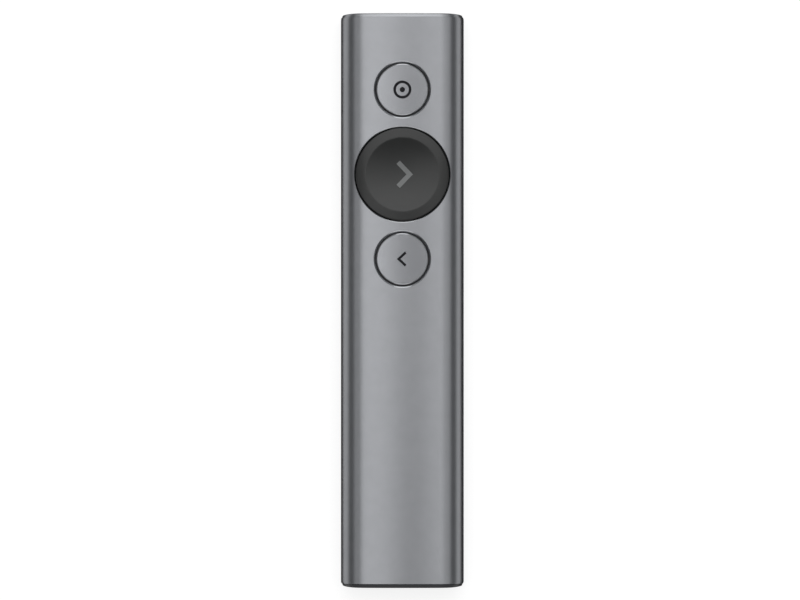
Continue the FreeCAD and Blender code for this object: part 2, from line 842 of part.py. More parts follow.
def make_nose_frame():
    """The plastic plug behind the nose plate. Its two hooks snap through windows in the chassis bulkhead."""
    body = new_body("nose_frame")
    plug = new_sketch(body, "plug", "XZ", y=s.nose_frame_back + s.nose_frame_thickness)
    draw_section(plug, s.spigot_inset)
    pad(body, plug, s.nose_frame_thickness)
    cut_light_hole(body, s.sleeve_end, s.nose_spigot_length + s.nose_frame_thickness + s.cut_overrun)
    add_hooks(body, s.nose_hook_offset, s.nose_frame_back, s.bulkhead_back - s.seat_gap)


def make_tail_cap():
    """The dark plastic end plate with the receiver's mouth, hooked to the chassis beside the dock."""
    body = make_end_plate("tail_cap", s.tail_face, s.tail_spigot_length, backwards=True)
    mouth = new_sketch(body, "mouth", "XZ", y=s.tail_face, z=s.dock_centre)
    draw_rounded(mouth, s.dock_width, s.dock_height, s.receiver_corner_radius + s.dock_gap)
    pocket(body, mouth, s.end_plate_thickness + s.tail_spigot_length + s.cut_overrun, backwards=True)
    add_hooks(body, s.tail_hook_offset, s.mouth_end, s.chassis_back + s.bulkhead_thickness + s.seat_gap)


# The chassis, the guide frame and the board


def make_chassis():
    """The moulded tray in the sleeve's lower half: floor, walls, two bulkheads, bosses and ribs."""
    body = new_body("chassis")
    hull = new_sketch(body, "hull", "XZ", y=s.chassis_front)
    draw_section(hull, s.chassis_inset)
    pad(body, hull, s.chassis_front - s.chassis_back)
    above = new_sketch(body, "above_rim", "XZ", y=s.bulkhead_back)
    draw_rectangle(above, s.sleeve_width, s.sleeve_height, y=s.chassis_rim + s.sleeve_height / 2)
    pocket(body, above, s.sleeve_length)
    hollow = new_sketch(body, "hollow", "XZ", y=s.bulkhead_back)
    draw_section(hollow, s.chassis_inset + s.chassis_wall)
    pocket(body, hollow, s.bulkhead_back - s.chassis_back - s.bulkhead_thickness)
    add_chassis_supports(body)
    cut_chassis_bulkheads(body)


def add_chassis_supports(body):
    """Screw bosses and long ribs that hold the board off the chassis floor."""
    height = s.board_bottom - s.floor_top
    for index, (x, y) in enumerate(BOARD_SCREWS, 1):
        boss = new_sketch(body, f"boss_{index}", "XY", x=x, y=y, z=s.floor_top)
        draw_circle(boss, s.boss_radius)
        pad(body, boss, height)
    clear = s.boss_radius + s.part_gap
    spans = {
        "button": (s.middle_screw_y + clear, s.front_screw_y - clear),
        "battery": (s.battery_back, s.battery_front),
    }
    for name, (back, front) in spans.items():
        ribs = new_sketch(body, name + "_ribs", "XY", y=(back + front) / 2, z=s.floor_top)
        for side in SIDES:
            draw_rectangle(ribs, s.rib_thickness, front - back, x=side * s.rib_offset)
        pad(body, ribs, height)
    pilots = new_sketch(body, "pilots", "XY", z=s.board_bottom)
    for x, y in BOARD_SCREWS:
        draw_circle(pilots, s.pilot_radius, x=x, y=y)
    pocket(body, pilots, s.board_screw_grip, backwards=True)


def cut_chassis_bulkheads(body):
    """Openings in the bulkheads: hook windows, the dock's gap at the tail, the light's bore at the nose."""
    through = s.bulkhead_thickness + 2 * s.cut_overrun
    dock = new_sketch(body, "dock_gap", "XZ", y=s.chassis_back - s.cut_overrun, z=s.dock_centre)
    draw_rectangle(dock, 2 * (s.dock_half_outer + s.seat_gap), s.dock_height + 2 * s.dock_wall)
    pocket(body, dock, through, backwards=True)
    cut_hook_windows(body, "nose_windows", s.nose_hook_offset, s.chassis_front)
    cut_hook_windows(body, "tail_windows", s.tail_hook_offset, s.chassis_back + s.bulkhead_thickness)
    cut_light_hole(body, s.chassis_front + s.cut_overrun, through)


def make_guide_frame():
    """The moulded plate over the board that guides the three button posts, on four screwed legs."""
    body = new_body("guide_frame")
    middle, length = (s.guide_front + s.guide_back) / 2, s.guide_front - s.guide_back
    plate = new_sketch(body, "plate", "XY", y=middle, z=s.guide_bottom)
    draw_rounded(plate, s.guide_width, length, s.guide_corner_radius)
    pad(body, plate, s.guide_thickness)
    rails = new_sketch(body, "rails", "XY", y=middle, z=s.guide_bottom)
    for side in SIDES:
        draw_rectangle(rails, s.guide_rail_thickness, length - 4 * s.guide_corner_radius,
                       x=side * (s.guide_width - s.guide_rail_thickness) / 2)
    pad(body, rails, s.guide_thickness + s.guide_rail_height)
    for button in BUTTONS:
        boss = new_sketch(body, button + "_boss", "XY", y=BUTTON_Y[button], z=s.guide_bottom)
        draw_circle(boss, s.guide_boss_radius)
        pad(body, boss, UNDERSIDE[button] - TRAVEL[button] - s.stop_gap - s.guide_bottom)
    for index, (x, y) in enumerate(GUIDE_SCREWS, 1):
        leg = new_sketch(body, f"leg_{index}", "XY", x=x, y=y, z=s.board_top)
        draw_circle(leg, s.guide_leg_radius)
        pad(body, leg, s.guide_top - s.board_top)
    bores = new_sketch(body, "post_bores", "XY", z=s.board_top)
    for button in BUTTONS:
        bore_width = s.post_width + 2 * s.guide_gap
        draw_rectangle(bores, bore_width, bore_width, y=BUTTON_Y[button])
    pocket(body, bores, s.sleeve_height)
    holes = new_sketch(body, "screw_holes", "XY", z=s.board_top)
    for x, y in GUIDE_SCREWS:
        draw_circle(holes, s.screw_hole_radius, x=x, y=y)
    pocket(body, holes, s.sleeve_height)


def make_board():
    """The main circuit board, with nicked corners and clearance holes for its screws."""
    body = new_body("main_board")
    outline = new_sketch(body, "outline", "XY", z=s.board_bottom)
    side, nick = s.board_width / 2, s.board_width / 2 - s.board_corner
    front, back = s.board_front, s.board_back
    draw_polygon(outline, [
        (nick, back), (side, back + s.board_corner), (side, front - s.board_corner), (nick, front),
        (-nick, front), (-side, front - s.board_corner), (-side, back + s.board_corner), (-nick, back),
    ])
    pad(body, outline, s.board_thickness)
    holes = new_sketch(body, "holes", "XY", z=s.board_bottom)
    for x, y in BOARD_SCREWS:
        draw_circle(holes, s.screw_hole_radius, x=x, y=y)
    pocket(body, holes, s.board_thickness + s.cut_overrun)


# What the board carries


def make_chips():
    """The packages on the board: controller, motion sensor, charger, crystal, capacitors and antenna."""
    front, rear = s.next_y + s.button_pitch / 2, s.next_y - s.button_pitch / 2
    beside = s.controller_width / 2 + s.crystal_width
    charger_y = s.rear_screw_y + s.screw_head_radius + s.charger_gap + s.sensor_width / 2
    controller = (s.controller_width, s.controller_width, s.controller_height)
    sensor = (s.sensor_width, s.sensor_width, s.sensor_height)
    capacitor = (s.capacitor_length, s.capacitor_width, s.capacitor_width)
    chips = [
        block("controller", sized(0), rear, s.board_top, *controller),
        block("motion_sensor", sized(0), front, s.board_top, *sensor),
        block("charger", -s.rear_screw_offset, charger_y, s.board_top, *sensor),
        block("crystal", beside, rear, s.board_top, s.crystal_width, s.crystal_length, s.crystal_height),
    ]
    first_row = rear - (CAPACITORS - 1) * s.capacitor_pitch / 2
    for k in range(CAPACITORS):
        y = first_row + k * s.capacitor_pitch
        chips.append(block(f"capacitor_{k + 1}", -beside, y, s.board_top, *capacitor))
    join("board_chips", chips)
    antenna_x = s.board_width / 2 - s.antenna_edge_gap - s.antenna_width / 2
    keep("chip_antenna", block("chip_antenna", antenna_x, s.motor_y, s.board_top, s.antenna_width,
                               s.antenna_length, s.antenna_height))


def make_light():
    """The status light on the board's front edge, and the clear pipe that carries it to the nose."""
    keep("status_led", block("status_led", sized(0), s.board_front - s.led_depth / 2, s.board_top,
                             s.led_width, s.led_depth, s.led_height))
    start = s.board_front + s.seat_gap
    keep("light_pipe", cylinder("light_pipe", (0, start, s.light_z), s.light_pipe_radius,
                                s.nose_face - start, "Y"))


def make_charging_port():
    """The USB-C receptacle behind the dock: a rolled shell on four feet, with the contact tongue in it."""
    shell = doc.addObject("PartDesign::Body", "port_shell")
    inner_width, inner_height = s.usb_c_width - 2 * s.usb_c_wall, s.usb_c_height - 2 * s.usb_c_wall
    outer = new_sketch(shell, "outer", "XZ", y=s.port_face, z=s.dock_centre)
    draw_slot(outer, s.usb_c_width, s.usb_c_height)
    pad(shell, outer, s.usb_c_length, backwards=True)
    inner = new_sketch(shell, "inner", "XZ", y=s.port_face, z=s.dock_centre)
    draw_slot(inner, inner_width, inner_height)
    pocket(shell, inner, s.usb_c_length - s.usb_c_wall, backwards=True)
    reach = s.usb_c_foot_inset + s.usb_c_foot_length / 2
    feet = []
    for side in SIDES:
        for row, y in (("front", s.port_face + reach), ("rear", s.port_back - reach)):
            x = side * (s.usb_c_width - s.usb_c_wall) / 2
            feet.append(block(f"port_foot_{row}_{side + 1}", x, y, s.board_top, s.usb_c_wall,
                              s.usb_c_foot_length, s.usb_c_height / 2))
    keep("usb_c_shell", fuse("usb_c_shell", [shell] + feet))
    body = new_body("usb_c_tongue")
    back = s.port_back - s.usb_c_wall
    base = new_sketch(body, "base", "XZ", y=back, z=s.dock_centre)
    draw_slot(base, inner_width, inner_height)
    pad(body, base, s.usb_c_back)
    tongue = new_sketch(body, "tongue", "XZ", y=back, z=s.dock_centre)
    draw_rectangle(tongue, s.usb_c_tongue_width, s.usb_c_tongue_thickness)
    pad(body, tongue, back - s.port_face - s.usb_c_tongue_setback)


def make_battery():
    """The pouch cell behind the buttons, on a foam pad, with its sealed head facing them."""
    body = new_body("battery")
    pouch = new_sketch(body, "pouch", "XY", y=s.battery_y, z=s.battery_bottom)
    draw_rounded(pouch, s.battery_width, s.battery_length, s.battery_corner_radius)
    pad(body, pouch, s.battery_height)
    top = s.battery_bottom + s.battery_height
    dress(body, "Fillet", lambda p: near(p.z, top), s.battery_edge_radius)
    head = new_sketch(body, "head", "XY", y=s.battery_front, z=s.battery_bottom)
    draw_rectangle(head, s.battery_width - 2 * s.battery_corner_radius, 2 * s.battery_head_length)
    pad(body, head, s.battery_head_height)
    keep("battery_pad", block("battery_pad", sized(0), s.battery_y, s.board_top,
                              s.battery_width - 2 * s.battery_pad_margin,
                              s.battery_length - 2 * s.battery_pad_margin, s.battery_pad_thickness))


def make_battery_tabs():
    """Two nickel tabs that leave the cell's head level, drop to the board and end in a soldered foot."""
    start = s.battery_front + s.battery_head_length
    bend = start + s.tab_run - s.tab_thickness
    level = s.battery_bottom + s.battery_head_height / 2
    tabs = []
    for side, word in zip(SIDES, ("left", "right")):
        x = side * s.tab_pitch / 2
        tabs.append(fuse(word + "_tab", [
            block(word + "_tab_run", x, start + s.tab_run / 2, level - s.tab_thickness, s.tab_width,
                  s.tab_run, s.tab_thickness),
            block(word + "_tab_drop", x, bend + s.tab_thickness / 2, s.board_top, s.tab_width,
                  s.tab_thickness, level - s.board_top),
            block(word + "_tab_foot", x, bend + s.tab_foot / 2, s.board_top, s.tab_width, s.tab_foot,
                  s.tab_thickness),
        ]))
    join("battery_tabs", tabs)


def make_motor():
    """The bar motor that buzzes the clicker: a can in a rubber boot, and a half-round weight on its shaft."""
    can_start = (-s.motor_can_offset - s.motor_can_length / 2, s.motor_y, s.motor_z)
    can = cylinder("can_solid", can_start, s.motor_can_radius, s.motor_can_length, "X")
    bore = cylinder("can_bore", (-s.motor_can_offset, s.motor_y, s.motor_z),
                    s.motor_shaft_radius + s.guide_gap, s.motor_can_length, "X")
    keep("motor_can", cut("motor_can", can, bore))
    boot = block("boot_block", -s.motor_can_offset, s.motor_y, s.board_top, s.motor_boot_length,
                 2 * (s.motor_can_radius + s.motor_boot_wall), s.motor_z + s.motor_boot_rise - s.board_top)
    seat = cylinder("boot_seat", can_start, s.motor_can_radius, s.motor_can_length, "X")
    keep("motor_boot", cut("motor_boot", boot, seat))
    shaft_start = s.motor_weight_gap - s.motor_can_offset
    shaft_length = s.motor_weight_start + s.motor_weight_length - shaft_start
    keep("motor_shaft", cylinder("motor_shaft", (shaft_start, s.motor_y, s.motor_z), s.motor_shaft_radius,
                                 shaft_length, "X"))


def make_motor_weight():
    """The eccentric weight: a half disc below the shaft and a hub round it."""
    start = (s.motor_weight_start, s.motor_y, s.motor_z)
    lobe = cylinder("weight_lobe", start, s.motor_weight_radius, s.motor_weight_length, "X")
    through = s.motor_weight_length + 2 * s.cut_overrun
    above = block("weight_above", s.motor_weight_start + s.motor_weight_length / 2, s.motor_y, s.motor_z,
                  through, 4 * s.motor_weight_radius, 2 * s.motor_weight_radius)
    hub = cylinder("weight_hub", start, s.motor_hub_radius, s.motor_weight_length, "X")
    bore = cylinder("weight_bore", (s.motor_weight_start - s.cut_overrun, s.motor_y, s.motor_z),
                    s.motor_shaft_radius, through, "X")
    half = cut("weight_half", lobe, above)
    keep("motor_weight", cut("motor_weight", fuse("weight_solid", [half, hub]), bore))


# The buttons


def make_switch(button):
    """The tactile switch under one button, and the plunger that the button's post rests on."""
    y = BUTTON_Y[button]
    case = block(button + "_switch_case", sized(0), y, s.board_top, s.switch_width, s.switch_width,
                 s.switch_height)
    leg_x, leg_y = (s.switch_width + s.switch_leg_reach) / 2, s.switch_width / 2 - s.switch_leg_width
    legs = []
    for side in SIDES:
        for row in SIDES:
            name = f"{button}_leg_{side + 1}_{row + 1}"
            legs.append(block(name, side * leg_x, y + row * leg_y, s.board_top, s.switch_leg_reach,
                              s.switch_leg_width, s.switch_leg_height))
    depth = s.plunger_depth + TRAVEL[button] + s.stop_gap
    bore = cylinder(button + "_switch_bore", (0, y, s.switch_top - depth), s.plunger_radius + s.guide_gap,
                    depth + s.cut_overrun)
    solid = fuse(button + "_switch_solid", [case] + legs)
    keep(button + "_switch", cut(button + "_switch", solid, bore))
    keep(button + "_plunger", cylinder(button + "_plunger", (0, y, s.switch_top - s.plunger_depth),
                                       s.plunger_radius, s.plunger_depth + s.plunger_rise))


def make_cap(button, radius, low, rise):
    """A round cap from the height low up to the sleeve's crowned face, raised by rise."""
    y = BUTTON_Y[button]
    cap = new_body(button + "_cap")
    disc = new_sketch(cap, "disc", "XY", y=y, z=low)
    draw_circle(disc, radius)
    pad(cap, disc, s.sleeve_height + rise + s.cut_overrun / 2 - low)
    above = new_sketch(cap, "above_face", "XZ", y=y)
    draw_above_section(above, rise)
    pocket(cap, above, 4 * radius, both=True)
    return cap


def add_post(carrier, button):
    """The square post under a carrier, down through the guide frame to the switch's plunger."""
    post = new_sketch(carrier, "post", "XY", y=BUTTON_Y[button], z=s.plunger_top)
    draw_rectangle(post, s.post_width, s.post_width)
    pad(carrier, post, UNDERSIDE[button] - s.plunger_top)


def make_small_button(button):
    """A round aluminium cap level with the face, on a flanged carrier that stops under the sleeve."""
    y = BUTTON_Y[button]
    cap = make_cap(button, s.small_cap_radius, s.small_cap_bottom, s.small_cap_proud)
    low = number(s.small_cap_bottom) + NEAR
    dress(cap, "Chamfer", lambda p: p.z > low, s.small_cap_chamfer)
    carrier = new_body(button + "_carrier")
    flange = new_sketch(carrier, "flange", "XY", y=y, z=s.flange_bottom)
    draw_circle(flange, s.flange_radius)
    pad(carrier, flange, s.flange_thickness)
    neck = new_sketch(carrier, "neck", "XY", y=y, z=s.flange_top)
    draw_circle(neck, s.small_cap_radius - s.small_neck_inset)
    pad(carrier, neck, s.small_cap_bottom - s.flange_top)
    add_post(carrier, button)


def cut_dish(cap):
    """The hollow for the thumb: an arc along the clicker, swung across it about an axis above the face.

    The swing is flatter than the arc by the fall of the crown, so the dish meets the crowned rim in a circle.
    """
    crown = s.crown_radius + s.next_cap_proud
    fall = crown - root(crown * crown - s.dish_radius * s.dish_radius)
    across = s.dish_depth - fall
    arc_radius = (s.dish_radius * s.dish_radius + s.dish_depth * s.dish_depth) / (2 * s.dish_depth)
    swing_radius = (s.dish_radius * s.dish_radius + across * across) / (2 * across)
    bottom = s.next_top - s.dish_depth
    reach = s.next_hole_radius
    spread = math.asin(number(reach) / number(arc_radius))
    centre = arc_radius - swing_radius
    rim = centre - root(arc_radius * arc_radius - reach * reach)
    top = s.dish_depth + s.cut_overrun - swing_radius
    sketch = new_sketch(cap, "dish", "YZ", y=s.next_y, z=bottom + swing_radius)
    sketch.addGeometry([
        arc(0, centre, arc_radius, -math.pi / 2 - spread, -math.pi / 2 + spread),
        line((reach, rim), (reach, top)),
        line((reach, top), (-reach, top)),
        line((-reach, top), (-reach, rim)),
    ], False)
    for k in range(4):
        constrain(sketch, ("Coincident", k, 2, (k + 1) % 4, 1))
    constrain(sketch, ("Vertical", 1), ("Horizontal", 2), ("Vertical", 3), ("PointOnObject", 0, 3, -2))
    dimension(sketch, "Radius", 0, size=arc_radius)
    dimension(sketch, "DistanceY", -1, 1, 0, 3, size=centre)
    dimension(sketch, "DistanceX", -1, 1, 1, 1, size=reach)
    dimension(sketch, "DistanceX", 3, 1, -1, 1, size=reach)
    dimension(sketch, "DistanceY", -1, 1, 1, 2, size=top)
    doc.recompute()
    before = cap.Shape.Volume
    groove = cap.newObject("PartDesign::Groove", "next_cap_dish_swung")
    groove.Profile = sketch
    groove.ReferenceAxis = (sketch, ["H_Axis"])
    groove.Midplane = True
    groove.Angle = DISH_SWING_DEGREES
    doc.recompute()
    if not cap.Shape.Volume < before:
        raise RuntimeError("the dish cuts nothing")


def make_next_button():
    """The large dished thumb button, on a carrier held under the sleeve by a lug at each end."""
    cap = make_cap("next", s.next_cap_radius, s.next_cap_bottom, s.next_cap_proud)
    low = number(s.next_cap_bottom) + NEAR
    dress(cap, "Fillet", lambda p: p.z > low, s.next_cap_rounding)
    cut_dish(cap)
    carrier = new_body("next_carrier")
    plate = new_sketch(carrier, "plate", "XY", y=s.next_y, z=s.next_plate_bottom)
    draw_circle(plate, s.next_cap_radius - s.carrier_plate_inset)
    pad(carrier, plate, s.carrier_plate_thickness)
    lugs = new_sketch(carrier, "lugs", "XY", y=s.next_y, z=s.next_plate_bottom)
    draw_rectangle(lugs, s.lug_width, 2 * s.lug_radius)
    pad(carrier, lugs, s.lug_top - s.next_plate_bottom)
    seat = new_sketch(carrier, "cap_seat", "XY", y=s.next_y, z=s.next_cap_bottom)
    draw_circle(seat, s.next_cap_radius + s.guide_gap)
    pocket(carrier, seat, s.sleeve_height)
    add_post(carrier, "next")


# The dock and the receiver


def make_dock():
    """The box that holds the receiver, open at the mouth, with a window onto the charging port at its end."""
    body = new_body("receiver_dock")
    outer = new_sketch(body, "outer", "XZ", y=s.mouth_end, z=s.dock_centre)
    corner = s.receiver_corner_radius + s.dock_gap
    draw_rounded(outer, s.dock_width + 2 * s.dock_wall, s.dock_height + 2 * s.dock_wall, corner + s.dock_wall)
    pad(body, outer, s.dock_end + s.dock_wall - s.mouth_end, backwards=True)
    inner = new_sketch(body, "inner", "XZ", y=s.mouth_end, z=s.dock_centre)
    draw_rounded(inner, s.dock_width, s.dock_height, corner)
    pocket(body, inner, s.dock_end - s.mouth_end, backwards=True)
    window = new_sketch(body, "port_window", "XZ", y=s.dock_end - s.cut_overrun, z=s.dock_centre)
    draw_slot(window, s.usb_c_width + 2 * s.port_window_margin, s.usb_c_height + 2 * s.port_window_margin)
    pocket(body, window, s.dock_wall + 2 * s.cut_overrun, backwards=True)
    slots = new_sketch(body, "spring_windows", "YZ", y=s.spring_y, z=s.dock_centre)
    draw_rectangle(slots, s.spring_span + 2 * s.guide_gap, s.spring_width + 2 * s.guide_gap)
    pocket(body, slots, 2 * s.sleeve_width, both=True)


def make_dock_springs():
    """Two bowed leaf springs in the dock's side windows, which grip the plug's shell."""
    foot = s.dock_width / 2 + s.spring_foot_depth
    bow = foot - s.plug_width / 2 - s.guide_gap - s.spring_thickness
    radius = (s.spring_span * s.spring_span / 4 + bow * bow) / (2 * bow)
    springs = []
    for side, word in zip(SIDES, ("left", "right")):
        spring = doc.addObject("PartDesign::Body", word + "_dock_spring")
        sketch = new_sketch(spring, "leaf", "XY", y=s.spring_y, z=s.dock_centre - s.spring_width / 2)
        draw_leaf(sketch, side, foot - bow + radius, radius)
        pad(spring, sketch, s.spring_width)
        springs.append(spring)
    join("dock_springs", springs)


def draw_leaf(sketch, side, centre, radius):
    """A bowed strip between two arcs round one centre, with its ends cut square to the centre line."""
    x, thick = side * centre, radius + s.spring_thickness
    facing = math.pi if side > 0 else 0.0
    half = number(s.spring_span) / 2
    spread, thick_spread = math.asin(half / number(radius)), math.asin(half / number(thick))
    face = arc(x, 0, radius, facing - spread, facing + spread)
    back = arc(x, 0, thick, facing - thick_spread, facing + thick_spread)
    starts = Part.LineSegment(face.StartPoint, back.StartPoint)
    ends = Part.LineSegment(face.EndPoint, back.EndPoint)
    sketch.addGeometry([face, back, starts, ends], False)
    constrain(sketch, ("Coincident", 0, 1, 2, 1), ("Coincident", 1, 1, 2, 2), ("Coincident", 0, 2, 3, 1),
              ("Coincident", 1, 2, 3, 2), ("Coincident", 0, 3, 1, 3), ("PointOnObject", 0, 3, -1),
              ("Horizontal", 2), ("Horizontal", 3))
    dimension(sketch, "Radius", 0, size=radius)
    dimension(sketch, "Radius", 1, size=thick)
    dimension(sketch, "DistanceX", -1, 1, 0, 3, size=x)
    dimension(sketch, "DistanceY", -1, 1, 0, 1, size=side * s.spring_span / 2)
    dimension(sketch, "DistanceY", -1, 1, 0, 2, size=-side * s.spring_span / 2)


def make_receiver_housing():
    """The receiver's moulded grip, with a groove in its end for a fingernail."""
    body = new_body("receiver_housing")
    grip = new_sketch(body, "grip", "XZ", y=s.housing_front, z=s.dock_centre)
    draw_rounded(grip, s.receiver_width, s.receiver_height, s.receiver_corner_radius)
    pad(body, grip, s.receiver_housing_length)
    seat = new_sketch(body, "plug_seat", "XZ", y=s.housing_front, z=s.dock_centre)
    draw_rectangle(seat, s.plug_width, s.plug_height)
    pocket(body, seat, s.receiver_housing_length - s.receiver_end_wall)
    groove_y = s.receiver_back + s.nail_groove_depth - s.nail_groove_radius
    groove = new_sketch(body, "nail_groove", "YZ", y=groove_y, z=s.dock_centre)
    draw_circle(groove, s.nail_groove_radius)
    pocket(body, groove, s.nail_groove_length, both=True)


def make_receiver_plug():
    """The USB plug on the receiver: a rolled metal shell with two windows in each face."""
    body = new_body("receiver_plug_shell")
    outer = new_sketch(body, "outer", "XZ", y=s.plug_tip, z=s.dock_centre)
    draw_rectangle(outer, s.plug_width, s.plug_height)
    pad(body, outer, s.plug_tip - s.plug_back)
    inner = new_sketch(body, "inner", "XZ", y=s.plug_tip, z=s.dock_centre)
    draw_rectangle(inner, s.plug_width - 2 * s.plug_wall, s.plug_height - 2 * s.plug_wall)
    pocket(body, inner, s.plug_tip - s.plug_back + s.cut_overrun)
    windows = new_sketch(body, "windows", "XY", y=s.plug_tip - s.plug_window_inset, z=s.dock_centre)
    for side in SIDES:
        draw_rectangle(windows, s.plug_window, s.plug_window, x=side * s.plug_window_offset)
    pocket(body, windows, s.sleeve_height, both=True)


def make_receiver_inside():
    """The plug's contact tongue with its four contacts, and the small board behind it."""
    inner_width = s.plug_width - 2 * (s.plug_wall + s.guide_gap)
    tongue_length = s.plug_tip - s.plug_back
    keep("receiver_tongue", block("receiver_tongue", sized(0), s.plug_tongue_back + tongue_length / 2,
                                  s.plug_floor, inner_width, tongue_length, s.plug_tongue_height))
    contact_y = s.plug_tongue_back + tongue_length - s.contact_setback - s.contact_length / 2
    contacts = []
    for pair, pitch in (("inner", s.contact_inner_pitch), ("outer", s.contact_outer_pitch)):
        for side in SIDES:
            contacts.append(block(f"{pair}_contact_{side + 1}", side * pitch / 2, contact_y,
                                  s.plug_tongue_top, s.contact_width, s.contact_length, s.contact_thickness))
    join("receiver_contacts", contacts)
    back = s.receiver_back + s.receiver_end_wall + s.receiver_board_margin
    keep("receiver_board", block("receiver_board", sized(0), (back + s.plug_tongue_back) / 2,
                                 s.plug_tongue_top - s.receiver_board_thickness,
                                 s.plug_width - 2 * s.receiver_board_margin, s.plug_tongue_back - back,
                                 s.receiver_board_thickness))


# The screws


def make_screw(name, x, y, seat, grip):
    """One socket-head screw. Its head stands on the height seat, and its shank runs down by the grip."""
    head = cylinder(name + "_head", (x, y, seat), s.screw_head_radius, s.screw_head_height)
    shank = cylinder(name + "_shank", (x, y, seat - grip), s.screw_radius, grip)
    socket = doc.addObject("Part::Prism", name + "_socket")
    socket.Polygon = SOCKET_SIDES
    bind(socket, "Circumradius", s.screw_socket_radius)
    bind(socket, "Height", s.screw_socket_depth + s.cut_overrun)
    place(socket, x, y, seat + s.screw_head_height - s.screw_socket_depth)
    return cut(name, fuse(name + "_solid", [head, shank]), socket)


def make_screws():
    """Four screws through the guide frame and the board, and two through the board's rear."""
    guide_grip = s.guide_top - s.board_bottom + s.board_screw_grip
    board_grip = s.board_thickness + s.board_screw_grip
    join("guide_screws", [make_screw(f"guide_screw_{k}", x, y, s.guide_top, guide_grip)
                          for k, (x, y) in enumerate(GUIDE_SCREWS, 1)])
    join("board_screws", [make_screw(f"board_screw_{k}", x, y, s.board_top, board_grip)
                          for k, (x, y) in enumerate(REAR_SCREWS, 1)])


def write_parts():
    """Checks every feature and every piece, then writes one file for each piece."""
    doc.recompute()
    for feature in doc.Objects:
        if {"Invalid", "Error"} & set(feature.State):
            raise RuntimeError(f"{feature.Label} failed: {feature.State}")
    for name, feature in nodes.items():
        shape = feature.Shape
        if shape.isNull() or not shape.isValid() or not shape.Solids:
            raise RuntimeError(f"{name} has no valid solid")
    os.makedirs("parts", exist_ok=True)
    for name, feature in nodes.items():
        feature.Shape.exportStep(os.path.join("parts", name + ".step"))
        print(f"{name}: {len(feature.Shape.Solids)} solid(s), {feature.Shape.Volume:.2f} mm3")


make_sleeve()
make_nose_cap()
make_nose_frame()
make_tail_cap()
make_chassis()
make_guide_frame()
make_board()
make_chips()
make_light()
make_charging_port()
make_battery()
make_battery_tabs()
make_motor()
make_motor_weight()
for small_button in SMALL_BUTTONS:
    make_small_button(small_button)
make_next_button()
for any_button in BUTTONS:
    make_switch(any_button)
make_dock()
make_dock_springs()
make_receiver_housing()
make_receiver_plug()
make_receiver_inside()
make_screws()
write_parts()
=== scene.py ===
# %% [markdown]
# # A slim presentation clicker
#
# The real object is a tube of bead-blasted aluminium with three press buttons in its face, a metal
# plate on the nose and a black plate on the tail. A receiver slides out of the tail.
#
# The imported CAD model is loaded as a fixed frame. Its solids already have the right places and
# sizes, so this lesson only makes the surfaces that the eye rests on smoother and finer, and gives
# every piece its finish. Lengths are in metres, and MM turns millimetres into them.

# %% Load the frame
import json
import math

import bmesh
import bpy
import numpy as np
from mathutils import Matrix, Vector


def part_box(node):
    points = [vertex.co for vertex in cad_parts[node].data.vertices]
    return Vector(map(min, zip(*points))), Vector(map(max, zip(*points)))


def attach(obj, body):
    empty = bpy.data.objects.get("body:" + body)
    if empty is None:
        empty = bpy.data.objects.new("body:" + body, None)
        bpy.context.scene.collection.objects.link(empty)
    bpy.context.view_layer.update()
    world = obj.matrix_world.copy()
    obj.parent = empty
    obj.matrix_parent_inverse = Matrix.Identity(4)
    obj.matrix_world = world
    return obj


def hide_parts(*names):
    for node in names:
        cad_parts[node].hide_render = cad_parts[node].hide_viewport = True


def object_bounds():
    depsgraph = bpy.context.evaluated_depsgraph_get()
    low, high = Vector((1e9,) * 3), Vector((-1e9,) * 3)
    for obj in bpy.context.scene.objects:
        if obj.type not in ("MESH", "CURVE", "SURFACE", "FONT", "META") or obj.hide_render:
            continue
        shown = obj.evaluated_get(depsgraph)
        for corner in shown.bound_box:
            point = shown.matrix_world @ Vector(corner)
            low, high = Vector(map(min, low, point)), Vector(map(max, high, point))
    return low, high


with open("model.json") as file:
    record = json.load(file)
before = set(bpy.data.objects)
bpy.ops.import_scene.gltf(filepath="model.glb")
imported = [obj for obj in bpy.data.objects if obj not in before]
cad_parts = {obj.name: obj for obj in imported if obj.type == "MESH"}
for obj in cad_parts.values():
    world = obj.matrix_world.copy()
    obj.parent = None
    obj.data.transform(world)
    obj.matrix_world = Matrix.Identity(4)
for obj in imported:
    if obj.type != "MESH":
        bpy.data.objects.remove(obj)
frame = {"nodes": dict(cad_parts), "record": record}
cad_low, cad_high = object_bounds()
MM = 0.001
print(f"frame: {len(frame['nodes'])} nodes, {(cad_high.y - cad_low.y) / MM:.1f} mm long")

# %% [markdown]
# ## The camera
#
# The photograph looks straight down. The ends of the clicker bow only a little in it, and they
# would bow more the nearer the lens was, because the crowned face stands nearer to it than the
# sides do. So the lens was more than 2 m away. An orthographic camera would come close, but a long
# lens high above keeps that little bow. The object's centre is a few pixels off the middle of the
# photograph, so the camera stands beside it by as much.

# %% Camera
PHOTO_WIDTH = 800
PHOTO_HEIGHT = 600
OBJECT_CENTRE_PIXEL = (402.35, 300.6)
PIXEL = 0.2295 * MM
CAMERA_HEIGHT = 2.4
SENSOR = 36.0

camera_data = bpy.data.cameras.new("camera")
camera_data.sensor_width = SENSOR
camera_data.lens = SENSOR * CAMERA_HEIGHT / (PHOTO_WIDTH * PIXEL)
camera_data.clip_start = 0.05
camera_data.clip_end = 50.0
camera = bpy.data.objects.new("camera", camera_data)
camera.location = (
    (PHOTO_WIDTH / 2 - OBJECT_CENTRE_PIXEL[0]) * PIXEL,
    (OBJECT_CENTRE_PIXEL[1] - PHOTO_HEIGHT / 2) * PIXEL,
    CAMERA_HEIGHT,
)
bpy.context.scene.collection.objects.link(camera)
bpy.context.scene.camera = camera
print(f"camera: {camera_data.lens:.0f} mm lens, {CAMERA_HEIGHT} m above the floor")

